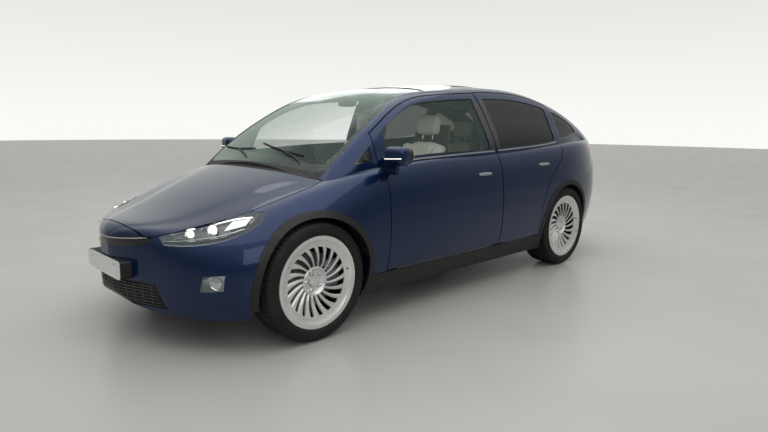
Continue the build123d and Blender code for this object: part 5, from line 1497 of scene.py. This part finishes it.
class SUV_OT_frit(bpy.types.Operator):
    """Prints the windshield's black edge band behind the glass, with the sensor patch at its top"""

    bl_idname = "suv.frit"
    bl_label = "Windshield edge band"

    def execute(self, context):
        half = [(0.0, -1.458), (0.320, -1.446), (0.590, -1.420), (0.690, -1.396), (0.728, -1.368),
                (0.730, -1.278), (0.712, -1.118), (0.678, -0.918), (0.640, -0.718), (0.588, -0.518),
                (0.586, -0.300), (0.360, -0.196), (0.0, -0.174)]
        line = half + [(-x, y) for x, y in half[-2:0:-1]]
        edge = smooth_path([(x, y, 0.0) for x, y in [*line, line[0]]], 320)[:-1]
        middle = np.array([0.0, -0.85, 0.0])
        width = np.interp(edge[:, 1], (-1.46, -1.38, -1.1, -0.35, -0.17),
                          (0.085, 0.060, 0.034, 0.040, 0.060))
        reach = edge - middle
        share = 1 - width / np.linalg.norm(reach, axis=1)
        rows = np.stack([middle + reach * (1 - (1 - share) * v)[:, None] for v in np.linspace(0, 1, 6)])
        rows[..., 2] = ABOVE
        band = laid(rows, "windshield", "Z", "-") - [0, 0, 0.0085]
        under = grid(band[::-1] - [0, 0, 0.0006], wrap_columns=True)
        piece("windshield_edge_band", joined([grid(band, wrap_columns=True), under]), "body",
              "black_plastic")
        u = np.linspace(-1, 1, 24)
        v = np.linspace(0, 1, 14)[:, None]
        sensor = laid(coords((0.150 - 0.06 * v) * u, -0.235 - 0.170 * v, ABOVE), "windshield", "Z", "-")
        sensor = sensor - [0, 0, 0.0085]
        piece("windshield_sensor_patch", patch(sensor, 0.0006), "body", "black_plastic")
        return {"FINISHED"}


class SUV_OT_underside(bpy.types.Operator):
    """Adds the battery tray's ribs and bolts, and the coil springs and dampers"""

    bl_idname = "suv.underside"
    bl_label = "Underside and springs"

    def execute(self, context):
        low, high = node_box("battery_pack")
        ribs = []
        for y in np.linspace(low[1] + 0.15, high[1] - 0.15, 9):
            line = coords(np.linspace(low[0] + 0.06, high[0] - 0.06, 20), y, low[2] + 0.001)
            ribs.append(swept(line, [(-0.012, 0.002), (-0.007, -0.004), (0.007, -0.004), (0.012, 0.002)]))
        piece("battery_ribs", joined(ribs), "body", "alloy")
        head = lathe([(-0.007, 0.0005), (-0.007, 0.010), (-0.002, 0.011), (0.0, 0.015), (0.003, 0.015),
                      (0.003, 0.0005)], 6, axis="Z")
        bolts = copies(head, [shifted(x, y, low[2] - 0.001) for x in (low[0] + 0.025, high[0] - 0.025)
                              for y in np.linspace(low[1] + 0.05, high[1] - 0.05, 14)])
        piece("battery_bolts", bolts, "body", "iron", smooth=False)
        self.springs()
        return {"FINISHED"}

    def springs(self):
        """Coils: radius 56 mm, rising evenly through their turns, round a damper's stepped tube."""
        coils, tubes = [], []
        radius, t = 0.056, np.linspace(0, 1, 240)
        for x0, y0, z0, tall, turns in ((0.552, -1.610, 0.250, 0.510, 6), (0.590, 1.359, 0.282, 0.274, 4.5)):
            angle = 2 * math.pi * turns * t
            rise = z0 + 0.02 + (tall - 0.03) * t
            path = coords(x0 + radius * np.cos(angle), y0 + radius * np.sin(angle), rise)
            coils.append(swept(path, ring_profile(0.0065, 8)))
            tube = lathe([(0, 0.001), (0, 0.026), (0.45 * tall, 0.026), (0.46 * tall, 0.012),
                          (tall - 0.012, 0.012), (tall - 0.010, 0.060), (tall, 0.060), (tall, 0.001)],
                         32, axis="Z")
            tubes.append(placed(shifted(x0, y0, z0), tube))
        piece("coil_springs", both_sides(joined(coils)), "body", "alloy")
        piece("dampers", both_sides(joined(tubes)), "body", "iron")


class SUV_Sizes(bpy.types.PropertyGroup):
    """Sizes of the detailed pieces."""

    blades: IntProperty(name="Wheel blades", description="Number of turbine blades on each wheel",
                        default=20, min=6, max=40)
    blade_sweep: FloatProperty(name="Blade sweep", description="Angle a blade turns from hub to ring",
                               default=0.35, subtype="ANGLE", unit="ROTATION")


# ---- operators ----
BACK_WALL = (-0.7, 0.7, 0.1)


class SUV_OT_finishes(bpy.types.Operator):
    """Makes every finish and gives each CAD panel, pane and casting its own"""

    bl_idname = "suv.finishes"
    bl_label = "Finishes"

    def execute(self, context):
        FINISH.update(build_finishes(context.scene.suv_look))
        for name, obj in NODES.items():
            material = FINISH[finish_of(name)]
            obj.data.materials.clear()
            obj.data.materials.append(material)
        return {"FINISHED"}


class SUV_OT_stage(bpy.types.Operator):
    """Lays the pale floor, hangs the soft lamps and sets the camera"""

    bl_idname = "suv.stage"
    bl_label = "Studio"

    def execute(self, context):
        look, scene = context.scene.suv_look, context.scene
        self.floor(look)
        self.lamps(scene)
        self.world(scene, look)
        self.camera(scene)
        scene.view_settings.view_transform = "Standard"
        return {"FINISHED"}

    def floor(self, look):
        """A flat disc of rings whose radius grows with the square of the row number."""
        r = np.linspace(0, 1, 40)[:, None] ** 2 * 34
        t = np.linspace(0, 2 * math.pi, 96, endpoint=False)
        mesh = bpy.data.meshes.new("studio_floor")
        vertices, faces = grid(coords(r * np.cos(t), r * np.sin(t), -0.0012), wrap_columns=True)
        mesh.from_pydata(vertices.tolist(), [], faces[:, ::-1].tolist())
        obj = bpy.data.objects.new("studio_floor", mesh)
        bpy.context.scene.collection.objects.link(obj)
        f = Finish("studio_floor_screed", look.floor_colour, 0.35)
        f.mottled(f.noise(0.6, 3.0), 0.04).worn(f.noise(2.0), 0.28, 0.36)
        mesh.materials.append(f.material)

    def lamps(self, scene):
        for name, place, size, power in (("ceiling_softbox", (0.5, -0.5, 5.2), (7.0, 9.0), 210.0),
                                         ("side_softbox", (6.5, -3.5, 3.2), (4.0, 3.0), 60.0),
                                         ("rear_softbox", (-5.5, 4.5, 3.4), (4.0, 3.0), 60.0)):
            light = bpy.data.lights.new(name, "AREA")
            light.shape, light.size, light.size_y = "RECTANGLE", *size
            light.energy = power
            lamp = bpy.data.objects.new(name, light)
            lamp.location = place
            aim = Vector((0, 0, 0.5)) - lamp.location
            lamp.rotation_euler = aim.to_track_quat("-Z", "Y").to_euler()
            scene.collection.objects.link(lamp)

    def world(self, scene, look):
        """Pale walls all round, palest low down; the wall behind the vehicle and the ceiling give light."""
        world = bpy.data.worlds.new("pale_studio")
        world.use_nodes = True
        scene.world = world
        tree = world.node_tree

        def ranged(value, start, end, low, high):
            out = tree.nodes.new("ShaderNodeMapRange")
            for key, number in zip(("From Min", "From Max", "To Min", "To Max"), (start, end, low, high)):
                out.inputs[key].default_value = number
            tree.links.new(value, out.inputs["Value"])
            return out.outputs["Result"]

        def larger(a, b):
            out = tree.nodes.new("ShaderNodeMath")
            out.operation = "MAXIMUM"
            tree.links.new(a, out.inputs[0])
            tree.links.new(b, out.inputs[1])
            return out.outputs[0]

        direction = tree.nodes.new("ShaderNodeTexCoord").outputs["Generated"]
        apart = tree.nodes.new("ShaderNodeSeparateXYZ")
        tree.links.new(direction, apart.inputs["Vector"])
        away = tree.nodes.new("ShaderNodeVectorMath")
        away.operation = "DOT_PRODUCT"
        away.inputs[1].default_value = BACK_WALL
        tree.links.new(direction, away.inputs[0])
        wall = ranged(away.outputs["Value"], 0.25, 0.85, 0.24, 0.72)
        ceiling = ranged(apart.outputs["Z"], 0.12, 0.75, 0.24, 0.9)
        seen = ranged(apart.outputs["Z"], 0.0, 0.2, 1.0, 0.82)
        path = tree.nodes.new("ShaderNodeLightPath")
        plain = larger(path.outputs["Is Camera Ray"], path.outputs["Is Transmission Ray"])
        mix = tree.nodes.new("ShaderNodeMix")
        tree.links.new(plain, mix.inputs["Factor"])
        tree.links.new(larger(wall, ceiling), mix.inputs["A"])
        tree.links.new(seen, mix.inputs["B"])
        background = tree.nodes["Background"]
        tree.links.new(mix.outputs["Result"], background.inputs["Strength"])
        background.inputs["Color"].default_value = (*linear(look.wall_colour), 1)

    def camera(self, scene):
        data = bpy.data.cameras.new("three_quarter_view")
        data.sensor_width, data.lens = 36.0, 27.19
        data.clip_start, data.clip_end = 0.05, 200.0
        azimuth, elevation, roll = math.radians(-45.5), math.radians(-9.43), math.radians(0.65)
        ahead = Vector((math.cos(elevation) * math.sin(azimuth), math.cos(elevation) * math.cos(azimuth),
                        math.sin(elevation)))
        right = ahead.cross(Vector((0, 0, 1))).normalized()
        top = right.cross(ahead)
        tilted = right * math.cos(roll) + top * math.sin(roll)
        top = top * math.cos(roll) - right * math.sin(roll)
        camera = bpy.data.objects.new("three_quarter_view", data)
        camera.matrix_world = Matrix((tilted, top, -ahead)).transposed().to_4x4()
        camera.location = (3.67, -3.73, 1.36)
        scene.collection.objects.link(camera)
        scene.camera = camera


class SUV_Look(bpy.types.PropertyGroup):
    """Colours of the vehicle and of the room."""

    body_colour: FloatVectorProperty(name="Body", description="Colour of the metallic body paint",
                                     default=(0.018, 0.125, 0.27), subtype="COLOR", min=0, max=1)
    wheel_colour: FloatVectorProperty(name="Wheels", description="Colour of the machined wheel faces",
                                      default=(0.82, 0.83, 0.82), subtype="COLOR", min=0, max=1)
    seat_colour: FloatVectorProperty(name="Seats", description="Colour of the seat leather",
                                     default=(0.74, 0.76, 0.71), subtype="COLOR", min=0, max=1)
    floor_colour: FloatVectorProperty(name="Floor", description="Colour of the studio floor",
                                      default=(0.67, 0.66, 0.65), subtype="COLOR", min=0, max=1)
    wall_colour: FloatVectorProperty(name="Walls", description="Colour of the room round the vehicle",
                                     default=(0.98, 0.985, 0.97), subtype="COLOR", min=0, max=1)


OPERATORS = (SUV_OT_finishes, SUV_OT_wheels, SUV_OT_tyres, SUV_OT_headlamps, SUV_OT_front_trim,
             SUV_OT_side_trim, SUV_OT_wipers, SUV_OT_front_seats, SUV_OT_rear_seats,
             SUV_OT_steering_wheel, SUV_OT_dashboard, SUV_OT_cabin_trim, SUV_OT_rear_trim, SUV_OT_openings,
             SUV_OT_frit, SUV_OT_underside, SUV_OT_stage)


class SUV_PT_panel(bpy.types.Panel):
    """Lists the builders in the sidebar"""

    bl_idname = "SUV_PT_panel"
    bl_label = "Electric SUV"
    bl_space_type = "VIEW_3D"
    bl_region_type = "UI"
    bl_category = "Electric SUV"

    def draw(self, context):
        for group in (context.scene.suv_look, context.scene.suv_sizes):
            for name in group.bl_rna.properties.keys():
                if name not in ("rna_type", "name"):
                    self.layout.prop(group, name)
        for cls in OPERATORS:
            self.layout.operator(cls.bl_idname)


def register():
    for cls in (SUV_Look, SUV_Sizes, *OPERATORS, SUV_PT_panel):
        bpy.utils.register_class(cls)
    bpy.types.Scene.suv_look = PointerProperty(type=SUV_Look)
    bpy.types.Scene.suv_sizes = PointerProperty(type=SUV_Sizes)


def unregister():
    del bpy.types.Scene.suv_look, bpy.types.Scene.suv_sizes
    for cls in reversed((SUV_Look, SUV_Sizes, *OPERATORS, SUV_PT_panel)):
        bpy.utils.unregister_class(cls)


def main():
    """Builds everything in order."""
    register()
    for cls in OPERATORS:
        group, name = cls.bl_idname.split(".")
        getattr(getattr(bpy.ops, group), name)()


if __name__ == "__main__":
    main()
